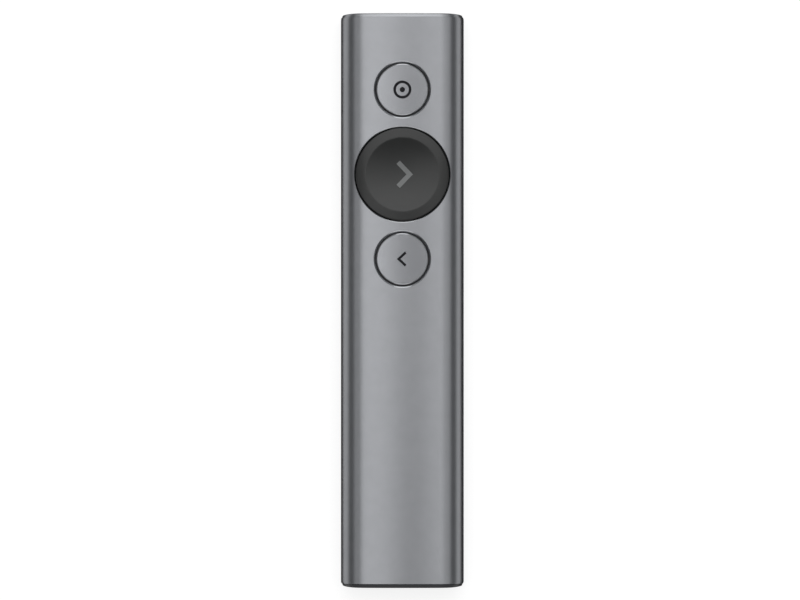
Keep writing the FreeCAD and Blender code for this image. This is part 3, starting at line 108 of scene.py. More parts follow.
# %% [markdown]
# ## Light
#
# Metal shows its surroundings, so its shading is made by what stands round it. In the photograph
# the crown is bright left and right of its middle and darker between: two soft boxes hang overhead,
# and the lens looks down through the notch between them. Dimmer boxes take over at the sides, and
# beyond them hangs nothing, which makes the dark band along each shoulder. The dish and the small
# bevels shine where they face the nose, so more boxes follow each other that way, down to the
# floor. A painted surrounding could do the same, but lamps are easier to move one at a time. Each
# is placed by the angles between which the clicker sees it, because a reflection depends on
# nothing else.

# %% Lamps
bpy.context.scene.view_settings.view_transform = "Standard"
LAMP_DISTANCE = 2.0
SKY_COLOUR = (0.97, 0.985, 1.0, 1.0)
SKY_STRENGTH = 0.2


def soft_box(name, sideways, along, radiance):
    """Adds a rectangular lamp, seen from the clicker between two angles sideways and two along it.

    Both pairs are degrees from straight up. The lamp stands square to the direction of its
    middle, and its radiance is how bright its face is, where 1 is white.
    """
    left, right, back, front = np.radians([*sideways, *along])
    turn, lean = (left + right) / 2, (back + front) / 2
    out = Vector((math.sin(turn) * math.cos(lean), math.sin(lean), math.cos(turn) * math.cos(lean)))
    data = bpy.data.lights.new(name, "AREA")
    data.shape = "RECTANGLE"
    data.size = 2 * LAMP_DISTANCE * math.cos(lean) * math.tan((right - left) / 2)
    data.size_y = 2 * LAMP_DISTANCE * math.tan((front - back) / 2)
    data.energy = radiance * math.pi * data.size * data.size_y
    lamp = bpy.data.objects.new(name, data)
    across = Vector((math.cos(turn), 0, -math.sin(turn)))
    up = out.cross(across)
    lamp.matrix_world = Matrix((across, up, out)).transposed().to_4x4()
    lamp.location = out * LAMP_DISTANCE
    lamp.visible_camera = False
    bpy.context.scene.collection.objects.link(lamp)


soft_box("left_panel", (-26, -3), (-12, 22), 1.9)
soft_box("right_panel", (11, 24), (-12, 22), 1.85)
soft_box("middle_panel", (-3, 11), (5, 22), 2.1)
soft_box("front_panel", (-28, 26), (22, 40), 2.4)
soft_box("far_panel", (-28, 26), (40, 60), 0.8)
soft_box("left_wing", (-55, -34), (-12, 40), 0.7)
soft_box("right_wing", (24, 55), (-12, 40), 0.85)
soft_box("nose_panel", (-40, 40), (62, 86), 1.6)
soft_box("tail_panel", (-40, 40), (-80, -48), 0.9)

world = bpy.data.worlds.new("studio")
world.use_nodes = True
bpy.context.scene.world = world
sky = world.node_tree.nodes["Background"]
sky.inputs["Color"].default_value = SKY_COLOUR
sky.inputs["Strength"].default_value = SKY_STRENGTH

# %% [markdown]
# ## The floor
#
# The picture's ground is pure white. A diffuse floor is white only where the lamps make it so, and
# more light would wash out the object. So the floor's paint adds a glow of its own, for the camera
# and for light that is mirrored or let through, and keeps enough of its real shading for a soft
# shadow.

# %% Floor paint
FLOOR_COLOUR = (0.3, 0.3, 0.3, 1.0)
FLOOR_GLOW = 0.8


def floor_material():
    """Diffuse grey, with a glow that only camera, glossy and transmission rays see."""
    material = bpy.data.materials.new("floor")
    material.use_nodes = True
    nodes, links = material.node_tree.nodes, material.node_tree.links
    nodes.clear()
    rays = nodes.new("ShaderNodeLightPath")
    seen = rays.outputs["Is Camera Ray"]
    for ray in ("Is Glossy Ray", "Is Transmission Ray"):
        either = nodes.new("ShaderNodeMath")
        either.operation = "MAXIMUM"
        links.new(seen, either.inputs[0])
        links.new(rays.outputs[ray], either.inputs[1])
        seen = either.outputs["Value"]
    strength = nodes.new("ShaderNodeMath")
    strength.operation = "MULTIPLY"
    strength.inputs[1].default_value = FLOOR_GLOW
    links.new(seen, strength.inputs[0])
    glow = nodes.new("ShaderNodeEmission")
    links.new(strength.outputs["Value"], glow.inputs["Strength"])
    paint = nodes.new("ShaderNodeBsdfDiffuse")
    paint.inputs["Color"].default_value = FLOOR_COLOUR
    both = nodes.new("ShaderNodeAddShader")
    links.new(paint.outputs["BSDF"], both.inputs[0])
    links.new(glow.outputs["Emission"], both.inputs[1])
    out = nodes.new("ShaderNodeOutputMaterial")
    links.new(both.outputs["Shader"], out.inputs["Surface"])
    return material


print(f"floor paint: colour {FLOOR_COLOUR[0]}, glow {FLOOR_GLOW}")

# %% [markdown]
# The far edge of a flat plane would show as a horizon from low down. This floor is a shallow round
# sweep, as photographers use, so that none shows.

# %% Floor
FLOOR_GAP = 0.02 * MM
INNER_RINGS = (0.5, 2.5)
FLAT_RADIUS = 5.0
SWEEP_RADIUS = 3.0
SWEEP_TURN = math.radians(24)
SWEEP_RINGS = 12


def sweep(steps=96):
    """The floor: a flat disc whose rim turns up along an arc, as a profile swung round the middle."""
    arc = np.linspace(0, SWEEP_TURN, SWEEP_RINGS)
    radii = np.concatenate([INNER_RINGS, FLAT_RADIUS + SWEEP_RADIUS * np.sin(arc)])[:, None]
    heights = np.concatenate([0 * np.array(INNER_RINGS), SWEEP_RADIUS * (1 - np.cos(arc))])[:, None]
    turn = np.arange(steps) * 2 * math.pi / steps
    points = np.stack(np.broadcast_arrays(radii * np.cos(turn), radii * np.sin(turn), heights), axis=-1)
    points[..., 2] += cad_low.z - FLOOR_GAP
    grid = np.arange(radii.size * steps).reshape(radii.size, steps)
    after = np.roll(grid, -1, axis=1)
    faces = np.stack([grid[:-1], grid[1:], after[1:], after[:-1]], axis=-1).reshape(-1, 4)
    mesh = bpy.data.meshes.new("floor")
    mesh.from_pydata(points.reshape(-1, 3).tolist(), [], faces.tolist() + [grid[0].tolist()])
    mesh.materials.append(floor_material())
    mesh.shade_smooth()
    return bpy.data.objects.new("floor", mesh)


floor = sweep()
bpy.context.scene.collection.objects.link(floor)
print(f"floor: {2 * (FLAT_RADIUS + SWEEP_RADIUS * math.sin(SWEEP_TURN)):.1f} m across")

# %% [markdown]
# ## Painted shade under the clicker
#
# In the photograph the outline of the metal is a thin dark line: just before it, the flanks mirror
# what lies beside the clicker, and that was not lit. Here the floor's glow would make that line
# white. The floor could be painted dark there, but the camera would see it. So a black sheet of
# painted shade lies under the clicker, a little larger than it, for mirrored light alone: the
# camera, the shadow and the soft light go past it. It stands in for the unlit floor beside the
# clicker, as the flanks mirror it, and is wider on the right, where the flank is darker.

# %% Painted shade sheet
SHADE_SHEET_LEFT = 9 * MM
SHADE_SHEET_RIGHT = 13 * MM
# Painted shade: black, for the unlit floor beside the clicker that the metal mirrors.
PAINTED_SHADE_COLOUR = (0.03, 0.03, 0.03, 1.0)

painted_shade_material = bpy.data.materials.new("painted_shade_sheet")
painted_shade_material.use_nodes = True
painted_shade_shader = painted_shade_material.node_tree.nodes["Principled BSDF"]
painted_shade_shader.inputs["Base Color"].default_value = PAINTED_SHADE_COLOUR
painted_shade_shader.inputs["Roughness"].default_value = 1.0
painted_shade_mesh = bpy.data.meshes.new("painted_shade_sheet")
# The sheet of painted shade reaches as far past both ends as past the left side.
west, east = cad_low.x - SHADE_SHEET_LEFT, cad_high.x + SHADE_SHEET_RIGHT
south, north = cad_low.y - SHADE_SHEET_LEFT, cad_high.y + SHADE_SHEET_LEFT
painted_shade_z = cad_low.z - FLOOR_GAP / 2
painted_shade_corners = [(west, south), (east, south), (east, north), (west, north)]
painted_shade_mesh.from_pydata([(x, y, painted_shade_z) for x, y in painted_shade_corners], [], [(0, 1, 2, 3)])
painted_shade_mesh.materials.append(painted_shade_material)
painted_shade_sheet = bpy.data.objects.new("painted_shade_sheet", painted_shade_mesh)
painted_shade_sheet.visible_camera = painted_shade_sheet.visible_diffuse = painted_shade_sheet.visible_transmission = painted_shade_sheet.visible_shadow = False
bpy.context.scene.collection.objects.link(painted_shade_sheet)
print(f"mat: {(east - west) / MM:.0f} mm wide")

# %% [markdown]
# ## Finishes
#
# Every finish of the clicker is one Principled shader with fine grain. A finish is told apart by
# its colour, by how rough it is and by how coarse the grain is. Real bead blasting leaves dimples
# of about a tenth of a millimetre, and moulded plastic has the pits of its mould. A picture of the
# surface could be laid on, but it needs seams and repeats. The grain here is noise on Object
# coordinates, which are in metres and stay with the piece when it moves.

# %% Finish helper
FINE_DETAIL = 3.0
BROAD_GRAINS = 30
TONE_ENDS = (0.3, 0.7)


def finish(name, colour, metallic=0.0, roughness=0.5, grain=0.1 * MM, relief=0.004 * MM, mottle=0.06,
           spread=0.05, stretch=(1, 1, 1), gloss=0.5):
    """A Principled finish with relief of the grain's size, whose colour and roughness vary a little.

    Stretch scales the noise's place, so a small number draws it out along that axis. Gloss is the
    Principled shader's specular level, half for most plastics.
    """
    material = bpy.data.materials.new(name)
    material.use_nodes = True
    nodes, links = material.node_tree.nodes, material.node_tree.links
    shader = nodes["Principled BSDF"]
    shader.inputs["Metallic"].default_value = metallic
    shader.inputs["Specular IOR Level"].default_value = gloss
    place = nodes.new("ShaderNodeTexCoord")
    drawn = nodes.new("ShaderNodeMapping")
    drawn.inputs["Scale"].default_value = stretch
    links.new(place.outputs["Object"], drawn.inputs["Vector"])

    fine = nodes.new("ShaderNodeTexNoise")
    fine.inputs["Scale"].default_value = 1 / grain
    fine.inputs["Detail"].default_value = FINE_DETAIL
    links.new(drawn.outputs["Vector"], fine.inputs["Vector"])
    bump = nodes.new("ShaderNodeBump")
    bump.inputs["Strength"].default_value = 1.0
    bump.inputs["Distance"].default_value = relief
    links.new(fine.outputs["Fac"], bump.inputs["Height"])
    links.new(bump.outputs["Normal"], shader.inputs["Normal"])

    broad = nodes.new("ShaderNodeTexNoise")
    broad.inputs["Scale"].default_value = 1 / (BROAD_GRAINS * grain)
    links.new(place.outputs["Object"], broad.inputs["Vector"])
    tone = nodes.new("ShaderNodeValToRGB")
    for end, (position, change) in enumerate(zip(TONE_ENDS, (1 - mottle, 1 + mottle))):
        tone.color_ramp.elements[end].position = position
        tone.color_ramp.elements[end].color = (*[min(1.0, c * change) for c in colour], 1)
    links.new(broad.outputs["Fac"], tone.inputs["Fac"])
    links.new(tone.outputs["Color"], shader.inputs["Base Color"])

    rough = nodes.new("ShaderNodeMapRange")
    rough.inputs["To Min"].default_value = roughness - spread
    rough.inputs["To Max"].default_value = roughness + spread
    links.new(fine.outputs["Fac"], rough.inputs["Value"])
    links.new(rough.outputs["Result"], shader.inputs["Roughness"])
    return material


print(f"finish: fine noise of one grain, and broad noise of {BROAD_GRAINS} grains")

# %% [markdown]
# Tube and nose plate are the same blasted metal. The small buttons are blasted finer, and where a
# tool has cut a bevel the metal is bright. The dished button has a soft paint, almost black, over
# plastic. The metal's colour could be a plain grey, but in the photograph it is a little blue.

# %% Metals and soft touch
SLATE = (0.245, 0.25, 0.262)
EVEN_METAL = {"metallic": 1.0, "mottle": 0.02, "spread": 0.03}
blasted_metal = finish("blasted_metal", SLATE, roughness=0.32, relief=0.003 * MM, **EVEN_METAL)
button_metal = finish("button_metal", SLATE, roughness=0.25, relief=0.002 * MM, **EVEN_METAL)
cut_metal = finish("cut_metal", (0.4, 0.41, 0.425), roughness=0.2, relief=0.001 * MM, **EVEN_METAL)
soft_touch = finish("soft_touch", (0.009, 0.0097, 0.0094), roughness=0.37, grain=0.08 * MM,
                    relief=0.0015 * MM, gloss=0.45)
print("finishes: blasted metal, button metal, cut metal, soft touch")

# %% [markdown]
# ## Nets of points
#
# Metal with long even highlights shows every uneven face. Modifiers and booleans could cut these
# pieces, but leave faces of all sizes. Here each new surface is a grid of points worked out as one
# array, and neighbouring points are joined by four-sided faces. Where two grids share an edge, they
# share the points themselves, so no seam is left open, and because the mesh is closed, Blender can
# tell which side of each face is out. The arrays go into the mesh whole, with foreach_set.

# %% Mesh helper


def mesh_of(name, points, corners, coats):
    """A mesh of faces with four corners, or three where the last two are the same point.

    Coats are the numbers of the faces' finishes.
    """
    sizes = np.where(corners[:, 2] == corners[:, 3], 3, 4)
    keep = np.ones(corners.shape, bool)
    keep[sizes == 3, 3] = False
    mesh = bpy.data.meshes.new(name)
    mesh.vertices.add(len(points))
    mesh.vertices.foreach_set("co", points.astype(np.float32).ravel())
    mesh.loops.add(int(sizes.sum()))
    mesh.loops.foreach_set("vertex_index", corners[keep].astype(np.int32))
    mesh.polygons.add(len(sizes))
    mesh.polygons.foreach_set("loop_start", np.cumsum(np.append(0, sizes[:-1])).astype(np.int32))
    mesh.polygons.foreach_set("material_index", coats.astype(np.int32))
    mesh.update(calc_edges=True)
    shell = bmesh.new()
    shell.from_mesh(mesh)
    bmesh.ops.recalc_face_normals(shell, faces=shell.faces)
    open_edges = sum(not edge.is_manifold for edge in shell.edges)
    shell.to_mesh(mesh)
    shell.free()
    print(f"{name}: {int((sizes - 2).sum())} triangles, {open_edges} open edges")
    return mesh


# %% [markdown]
# Every piece is made the same way: add grids of points to a net, weave faces between them, close
# what is left open, and make the piece. Two plain lists would do for one grid, but a net keeps the
# count of points right when several grids go into one mesh.

# %% Net helper


class Net:
    """Points and four-sided faces, gathered grid by grid."""

    def __init__(self):
        self.points = []
        self.faces = []
        self.coats = []
        self.count = 0

    def add(self, x, y, z):
        """Adds a grid of points, numbered row by row, and gives back the grid of their numbers."""
        grid = np.stack(np.broadcast_arrays(x, y, z), axis=-1)
        numbers = self.count + np.arange(grid[..., 0].size).reshape(grid.shape[:-1])
        self.points.append(grid.reshape(-1, 3))
        self.count += numbers.size
        return numbers

    def weave(self, numbers, around=False, keep=None, coat=0):
        """Faces between neighbouring rows and columns. Around joins the last column to the first.

        Keep says which faces to keep, and coat is the number of their finish.
        """
        if around:
            numbers = np.concatenate([numbers, numbers[:, :1]], axis=1)
        here, below = numbers[:-1], numbers[1:]
        faces = np.stack([here[:, :-1], here[:, 1:], below[:, 1:], below[:, :-1]], axis=-1)
        self.gather(faces.reshape(-1, 4) if keep is None else faces[keep], coat)

    def close(self, ring, x, y, z, coat=0):
        """Closes a ring of points with a fan of triangles round one middle point."""
        middle = np.full_like(ring, self.add(x, y, z).item())
        self.gather(np.stack([ring, np.roll(ring, -1), middle, middle], axis=-1), coat)

    def gather(self, faces, coat):
        """Keeps faces and the number of their finish."""
        self.faces.append(faces)
        self.coats.append(np.full(len(faces), coat))

    def make(self, name, body, node, finishes, sharp=30.0):
        """Makes the piece: it rides on the body and, where a CAD node is named, takes its place.

        Points that no face uses are left out. Edges that turn by more than the sharp angle, in
        degrees, are shaded as edges.
        """
        used, corners = np.unique(np.concatenate(self.faces), return_inverse=True)
        points = np.concatenate(self.points)[used]
        mesh = mesh_of(name, points, corners.reshape(-1, 4), np.concatenate(self.coats))
        for material in finishes:
            mesh.materials.append(material)
        mesh.shade_smooth()
        mesh.set_sharp_from_angle(angle=math.radians(sharp))
        piece = bpy.data.objects.new(name, mesh)
        bpy.context.scene.collection.objects.link(piece)
        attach(piece, body)
        if node:
            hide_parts(node)


trial = Net()
trial.weave(trial.add(*np.meshgrid(np.arange(3), np.arange(4)), 0.0))
print(f"net: 3 by 4 points make {len(trial.faces[0])} faces")

# %% [markdown]
# ## The section of the tube
#
# The tube has one outline from end to end: a slightly crowned face, two round shoulders, short
# upright sides, two round lower corners and a flat back. Drawn as plain arcs it would mirror the
# lamps with a hard edge wherever one radius ends and the next begins. On a real extrusion one
# curve runs into the next, so here the direction of the outline is averaged over a few millimetres
# before the outline is summed up from it. Moved inwards along its own normal, the same outline
# gives the tube's inner wall.

# %% Section
CROWN_RADIUS = 62.0 * MM
SHOULDER_RADIUS = 5.6 * MM
CORNER_RADIUS = 5.0 * MM
EASING = 3.0 * MM
QUARTER = math.pi / 2

sleeve_low, sleeve_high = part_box("sleeve")
half_width = sleeve_high.x
sleeve_height = sleeve_high.z - sleeve_low.z
shoulder_x = half_width - SHOULDER_RADIUS
tilt = math.asin(shoulder_x / (CROWN_RADIUS - SHOULDER_RADIUS))
crown_drop = CROWN_RADIUS - (CROWN_RADIUS - SHOULDER_RADIUS) * math.cos(tilt)
corner_x = half_width - CORNER_RADIUS
# Distances round the outline, from the crown's middle, at which its arcs and straight runs end.
RUNS = np.cumsum([
    0.0,
    CROWN_RADIUS * tilt,
    SHOULDER_RADIUS * (QUARTER - tilt),
    sleeve_height - crown_drop - CORNER_RADIUS,
    CORNER_RADIUS * QUARTER,
    corner_x,
])
# The outline's direction there, which is how far it has turned over.
TURNS = np.array([0.0, tilt, QUARTER, QUARTER, math.pi, math.pi])


def summed_turn(run):
    """The outline's direction, summed from the crown's middle to a run, on either side of it."""
    sums = np.concatenate([[0.0], np.cumsum(np.diff(RUNS) * (TURNS[1:] + TURNS[:-1]) / 2)])
    step = np.clip(np.searchsorted(RUNS, np.abs(run)) - 1, 0, len(RUNS) - 2)
    past = np.abs(run) - RUNS[step]
    bend = (np.diff(TURNS) / np.diff(RUNS))[step]
    return sums[step] + TURNS[step] * past + bend * past**2 / 2


def eased_outline(steps=8000):
    """Runs, with the x, z and direction of the outline there.

    The direction is its mean over the easing, which is the difference of two sums. Each step
    moves by the cosine of the direction to the side and by its sine down, and both are stretched
    a hair to reach the tube's real width and height.
    """
    run = np.linspace(0.0, RUNS[-1], steps + 1)
    turn = (summed_turn(run + EASING / 2) - summed_turn(run - EASING / 2)) / EASING
    middle = (turn[1:] + turn[:-1]) / 2
    x = np.concatenate([[0.0], np.cumsum(np.cos(middle) * np.diff(run))])
    z = -np.concatenate([[0.0], np.cumsum(np.sin(middle) * np.diff(run))])
    x -= x[-1] * run / run[-1]
    x *= half_width / x.max()
    z *= sleeve_height / -z[-1]
    return run, x, sleeve_high.z + z, turn


EASED_RUN, EASED_X, EASED_Z, EASED_TURN = eased_outline()
UPPER = EASED_TURN <= QUARTER
print(f"section: {2 * EASED_X.max() / MM:.2f} by {(EASED_Z[0] - EASED_Z[-1]) / MM:.2f} mm")

# %% [markdown]
# Every piece that follows the tube asks three things of its outline: the point at a run, the run
# over a given x, and the height of the face there. All three look them up in the table just made,
# which is quicker and simpler than solving for them.

# %% Along the outline


def outline(run, inset=0.0):
    """The outline's x and z at a run from the crown's middle, positive to the right, moved inwards.

    Inwards is along the normal: against x by the sine of the direction, and down by its cosine.
    """
    side, run = np.where(run < 0, -1.0, 1.0), np.abs(run)
    turn = np.interp(run, EASED_RUN, EASED_TURN)
    x, z = np.interp(run, EASED_RUN, EASED_X), np.interp(run, EASED_RUN, EASED_Z)
    return side * (x - inset * np.sin(turn)), z - inset * np.cos(turn)


def run_over(x, inset=0.0):
    """The run at which the upper outline, moved inwards, lies over x: outline's table read backwards."""
    reach = EASED_X[UPPER] - inset * np.sin(EASED_TURN[UPPER])
    return np.where(x < 0, -1.0, 1.0) * np.interp(np.abs(x), reach, EASED_RUN[UPPER])


def face_height(x, rise=0.0):
    """The height of the crowned face over x, for the outline moved outwards by the rise."""
    return outline(run_over(x, -rise), -rise)[1]


print(f"face: {(face_height(0.0) - face_height(half_width / 2)) / MM:.2f} mm lower halfway to the side")

# %% [markdown]
# ## The tube
#
# The real tube is extruded, then bored for its buttons, and each bore gets a small bevel. Cutting
# round holes out of a grid with a boolean leaves slivers that show in metal. Here the grid has a
# rectangular window round each bore, and rings of points lead from the window's edge in to the
# bore's rim, so the faces stay even all the way. The bores come first: each is as large as the CAD
# cap in it, plus the gap that the photograph shows.

# %% Bores
BORES = {
    # piece in the bore: gap round the cap, bevel of the bore
    "pointer_cap": (0.34 * MM, 0.36 * MM),
    "next_cap": (0.25 * MM, 0.2 * MM),
    "back_cap": (0.34 * MM, 0.36 * MM),
}


def cap_centre(node):
    """The centre of a round cap along the clicker, and its radius."""
    low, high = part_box(node)
    return (low.y + high.y) / 2, (high.y - low.y) / 2


bores = []
for node, (gap, cut) in BORES.items():
    middle, radius = cap_centre(node)
    bores.append({"y": middle, "radius": radius + gap, "bevel": cut})
bores.sort(key=lambda bore: bore["y"])
print("bores:", [f"{2 * bore['radius'] / MM:.2f} mm" for bore in bores])

# %% [markdown]
# The grid's lines lie close together round the bores and at the ends, and far apart where the tube
# is plain. A grid that is fine everywhere would look the same and be several times heavier.

# %% Lines of the grid
NOSE_BEVEL = 0.03 * MM
TAIL_BEVEL = 0.1 * MM
CELL = 0.41 * MM
LONG_CELL = 1.6 * MM
SHORT_CELL = 0.1 * MM
END_ROUNDING = 0.8 * MM
WINDOW_TURN = math.radians(45)


def even(start, end, cell):
    """Even steps from start to end, each about as long as the cell."""
    return np.linspace(start, end, max(2, round(abs(end - start) / cell) + 1))


def joined(*stretches):
    """Stretches of steps one after the other, with each shared end kept once."""
    return np.concatenate([stretches[0]] + [stretch[1:] for stretch in stretches[1:]])


# A window reaches down to where the shoulder has turned over by its angle, and along the tube to
# halfway between two bores' rims. The outermost windows reach as far to both sides.
window_run = RUNS[1] + SHOULDER_RADIUS * (WINDOW_TURN - tilt)
rims = [bore["radius"] + bore["bevel"] for bore in bores]
edges = []
for lower, upper, lower_rim, upper_rim in zip(bores, bores[1:], rims, rims[1:]):
    edges.append((lower["y"] + lower_rim + upper["y"] - upper_rim) / 2)
edges = [2 * bores[0]["y"] - edges[0]] + edges + [2 * bores[-1]["y"] - edges[-1]]

tail_end, nose_end = sleeve_low.y + TAIL_BEVEL, sleeve_high.y - NOSE_BEVEL
rows = joined(
    even(tail_end, tail_end + END_ROUNDING, SHORT_CELL),
    even(tail_end + END_ROUNDING, edges[0], LONG_CELL),
    *[even(a, b, CELL) for a, b in zip(edges, edges[1:])],
    even(edges[-1], nose_end - END_ROUNDING, LONG_CELL),
    even(nose_end - END_ROUNDING, nose_end, SHORT_CELL),
)
top = even(-window_run, window_run, CELL)
right = joined(
    even(window_run, RUNS[2], CELL),
    even(RUNS[2], RUNS[3], CELL),
    even(RUNS[3], RUNS[4], CELL),
    even(RUNS[4], RUNS[5], 2 * CELL),
)
columns = np.concatenate([top, right[1:], -right[-2:0:-1]])
print(f"grid: {len(rows)} rows of {len(columns)} points")

# %% [markdown]
# Each point of the rectangular window's edge has a partner on the round rim, in the same direction
# from the bore's middle. The rings between the two are plain mixtures of both.

# %% Rings round a bore
WINDOW_RINGS = 14


def bore_rings(net, grid, loop, run, y, bore, inset, outwards):
    """Rings of points from the window's edge in to a bore's rim.

    Both ends are known as runs and places along the tube, and the rings lie at even shares
    between them.
    """
    offset = loop - grid[0, 0]
    edge_run, edge_y = run.ravel()[offset], y.ravel()[offset]
    edge_x = outline(edge_run)[0]
    turn = np.arctan2(edge_y - bore["y"], edge_x)
    radius = bore["radius"] + (bore["bevel"] if outwards else 0.0)
    rim_run, rim_y = run_over(radius * np.cos(turn), inset), bore["y"] + radius * np.sin(turn)
    share = np.linspace(0, 1, WINDOW_RINGS + 1)[:-1, None]
    ring_run, ring_y = rim_run + (edge_run - rim_run) * share, rim_y + (edge_y - rim_y) * share
    x, z = outline(ring_run, inset)
    rings = net.add(x, ring_y, z)
    net.weave(np.concatenate([rings, loop[None, :]]), around=True)
    return {"ring": rings[0], "turn": turn}


print(f"rings: {WINDOW_RINGS} round each bore")

# %% [markdown]
# The tube has an outer and an inner wall, and both are made the same way, one inset from the other
# by the thickness. The Solidify modifier could add the inner one, but would repeat the bevels in
# it. In the photograph the sides of the tube draw in a little right at the ends, so the outer wall
# does so too.

# %% Walls
WALL = 1.25 * MM
END_DRAW = 0.3 * MM
DRAW_POWER = 4


def drawn_in(run, y):
    """How far the tube draws in at its ends: a quarter ellipse, at the sides, not on face or back."""
    close = np.clip(1 - (sleeve_high.y - np.abs(y)) / END_ROUNDING, 0.0, 1.0)
    sideways = np.sin(np.interp(np.abs(run), EASED_RUN, EASED_TURN)) ** DRAW_POWER
    return END_DRAW * sideways * (1 - np.sqrt(1 - close**2))


def tube_wall(net, inset, outwards):
    """One wall of the tube, open at each bore. Gives back its grid and the rings at the rims.

    A point is the outline at its column's run, moved inwards by the inset, or by how far the tube
    draws in, at its row's place along the tube.
    """
    run, y = np.meshgrid(columns, rows)
    x, z = outline(run, drawn_in(run, y) if outwards else inset)
    if not outwards:
        y = np.where(y == rows[0], sleeve_low.y, np.where(y == rows[-1], sleeve_high.y, y))
    grid = net.add(x, y, z)
    last = len(top) - 1
    keep = np.ones((len(rows) - 1, len(columns)), bool)
    rims = []
    for bore, low, high in zip(bores, edges, edges[1:]):
        # A quarter of a cell less finds the edge's own row, whatever its last digit.
        first_row, last_row = np.searchsorted(rows, [low - CELL / 4, high - CELL / 4])
        keep[first_row:last_row, :last] = False
        loop = np.concatenate([
            grid[first_row, :last],
            grid[first_row:last_row, last],
            grid[last_row, last:0:-1],
            grid[last_row:first_row:-1, 0],
        ])
        rims.append(bore_rings(net, grid, loop, run, y, bore, inset, outwards))
    net.weave(grid, around=True, keep=keep)
    return grid, rims


print(f"walls: {WALL / MM} mm apart")

# %% [markdown]
# A bevel could be one flat cut. In the photograph the bevels of the bores are dark at the sides and
# bright where they face the nose, over a width of one or two pixels. A slightly round bevel between
# 31 and 44 degrees does that: at the sides it mirrors the cap beside it, and towards the nose the
# lamps there. The tube is then closed by its bores and by its two ends.

# %% Tube
# How far over a bevel leans where it starts, and where it ends.
BEVEL_TURN = np.radians([31.0, 44.0])
# Edges of cut metal are shaded as edges from this angle in degrees.
METAL_SHARP = 10.0


def bevel(radius, width, steps=5):
    """A round bevel that goes inwards from a radius by the width: its radii, and how deep each lies.

    A negative width goes outwards. The slope turns evenly from the first angle to the last, and
    the depth adds up its tangent.
    """
    share = np.linspace(0, 1, steps + 1)
    slope = np.tan(BEVEL_TURN[0] + (BEVEL_TURN[1] - BEVEL_TURN[0]) * share)
    depth = np.cumsum(np.append(0, (slope[1:] + slope[:-1]) / 2)) * abs(width) / steps
    return radius - width * share[1:, None], depth[1:, None]


tube = Net()
outer, outer_rims = tube_wall(tube, 0.0, outwards=True)
inner, inner_rims = tube_wall(tube, WALL, outwards=False)
for bore, outside, inside in zip(bores, outer_rims, inner_rims):
    rim_radius = bore["radius"] + bore["bevel"]
    turn = outside["turn"]
    radii, depth = bevel(rim_radius, bore["bevel"])
    rim_height = face_height(rim_radius * np.cos(turn))
    slope = tube.add(radii * np.cos(turn), bore["y"] + radii * np.sin(turn), rim_height - depth)
    tube.weave(np.concatenate([outside["ring"][None, :], slope]), around=True, coat=1)
    tube.weave(np.stack([slope[-1], inside["ring"]]), around=True)
for row, y, cut in ((0, sleeve_low.y, TAIL_BEVEL), (-1, sleeve_high.y, NOSE_BEVEL)):
    x, z = outline(columns, cut + drawn_in(columns, y))
    lip = tube.add(x, y, z)
    tube.weave(np.stack([outer[row], lip]), around=True, coat=1)
    tube.weave(np.stack([lip, inner[row]]), around=True)
tube.make("tube", "housing", "sleeve", [blasted_metal, cut_metal], sharp=METAL_SHARP)

# %% [markdown]
# ## The end plates
#
# The nose is closed by a thin plate of the tube's own metal, the tail by one of black plastic with
# a mouth for the receiver. In the photograph both ends are a little bowed, and their edges lean in
# before they turn over. The Bevel modifier would round them, but not lean or bow them. A plate with
# a hole in it is a closed ring: one profile goes up its side, over the rim, across the face, down
# through the hole and back round the spigot that fits inside the tube, and the outline carries it
# round. The hole's edge and the bow of the face come first.

# %% Hole and bow
BOW = 0.6 * MM
BOW_POWER = 10


def hole_edge(x, z, hole, wider=0.0):
    """The point of a round-cornered hole that lies nearest to a point outside it.

    It is the nearest point of the rectangle between the corners' centres, plus the corner's radius
    towards the point outside.
    """
    low, high = hole["centre"] - hole["half"], hole["centre"] + hole["half"]
    inner_x = np.clip(x, low[0] + hole["corner"], high[0] - hole["corner"])
    inner_z = np.clip(z, low[1] + hole["corner"], high[1] - hole["corner"])
    far = np.hypot(x - inner_x, z - inner_z)
    reach = (hole["corner"] + wider) / far
    return inner_x + reach * (x - inner_x), inner_z + reach * (z - inner_z)


def face_bow(x):
    """How far the face falls back at x: a high power of x, so nearly all of it close to the sides."""
    return BOW * np.abs(x / half_width) ** BOW_POWER


print(f"bow: {BOW / MM} mm at the sides, {face_bow(half_width * 0.9) / MM:.2f} mm at nine tenths")

# %% [markdown]
# The profile is a list of rings. Each ring is the tube's outline, moved inwards and raised from the
# joint, except across the face, where the rings turn from the outline's shape into the hole's.

# %% End plates
LEAN = math.radians(14)
LEAN_STEPS = 2
RIM = 0.2 * MM
RIM_STEPS = 5
FACE_STEPS = 14
FACE_CROWDING = 1.5
FITTING_ROUNDS = 5
SPIGOT_GAP = 0.08 * MM
HOLE_EDGE = 0.08 * MM


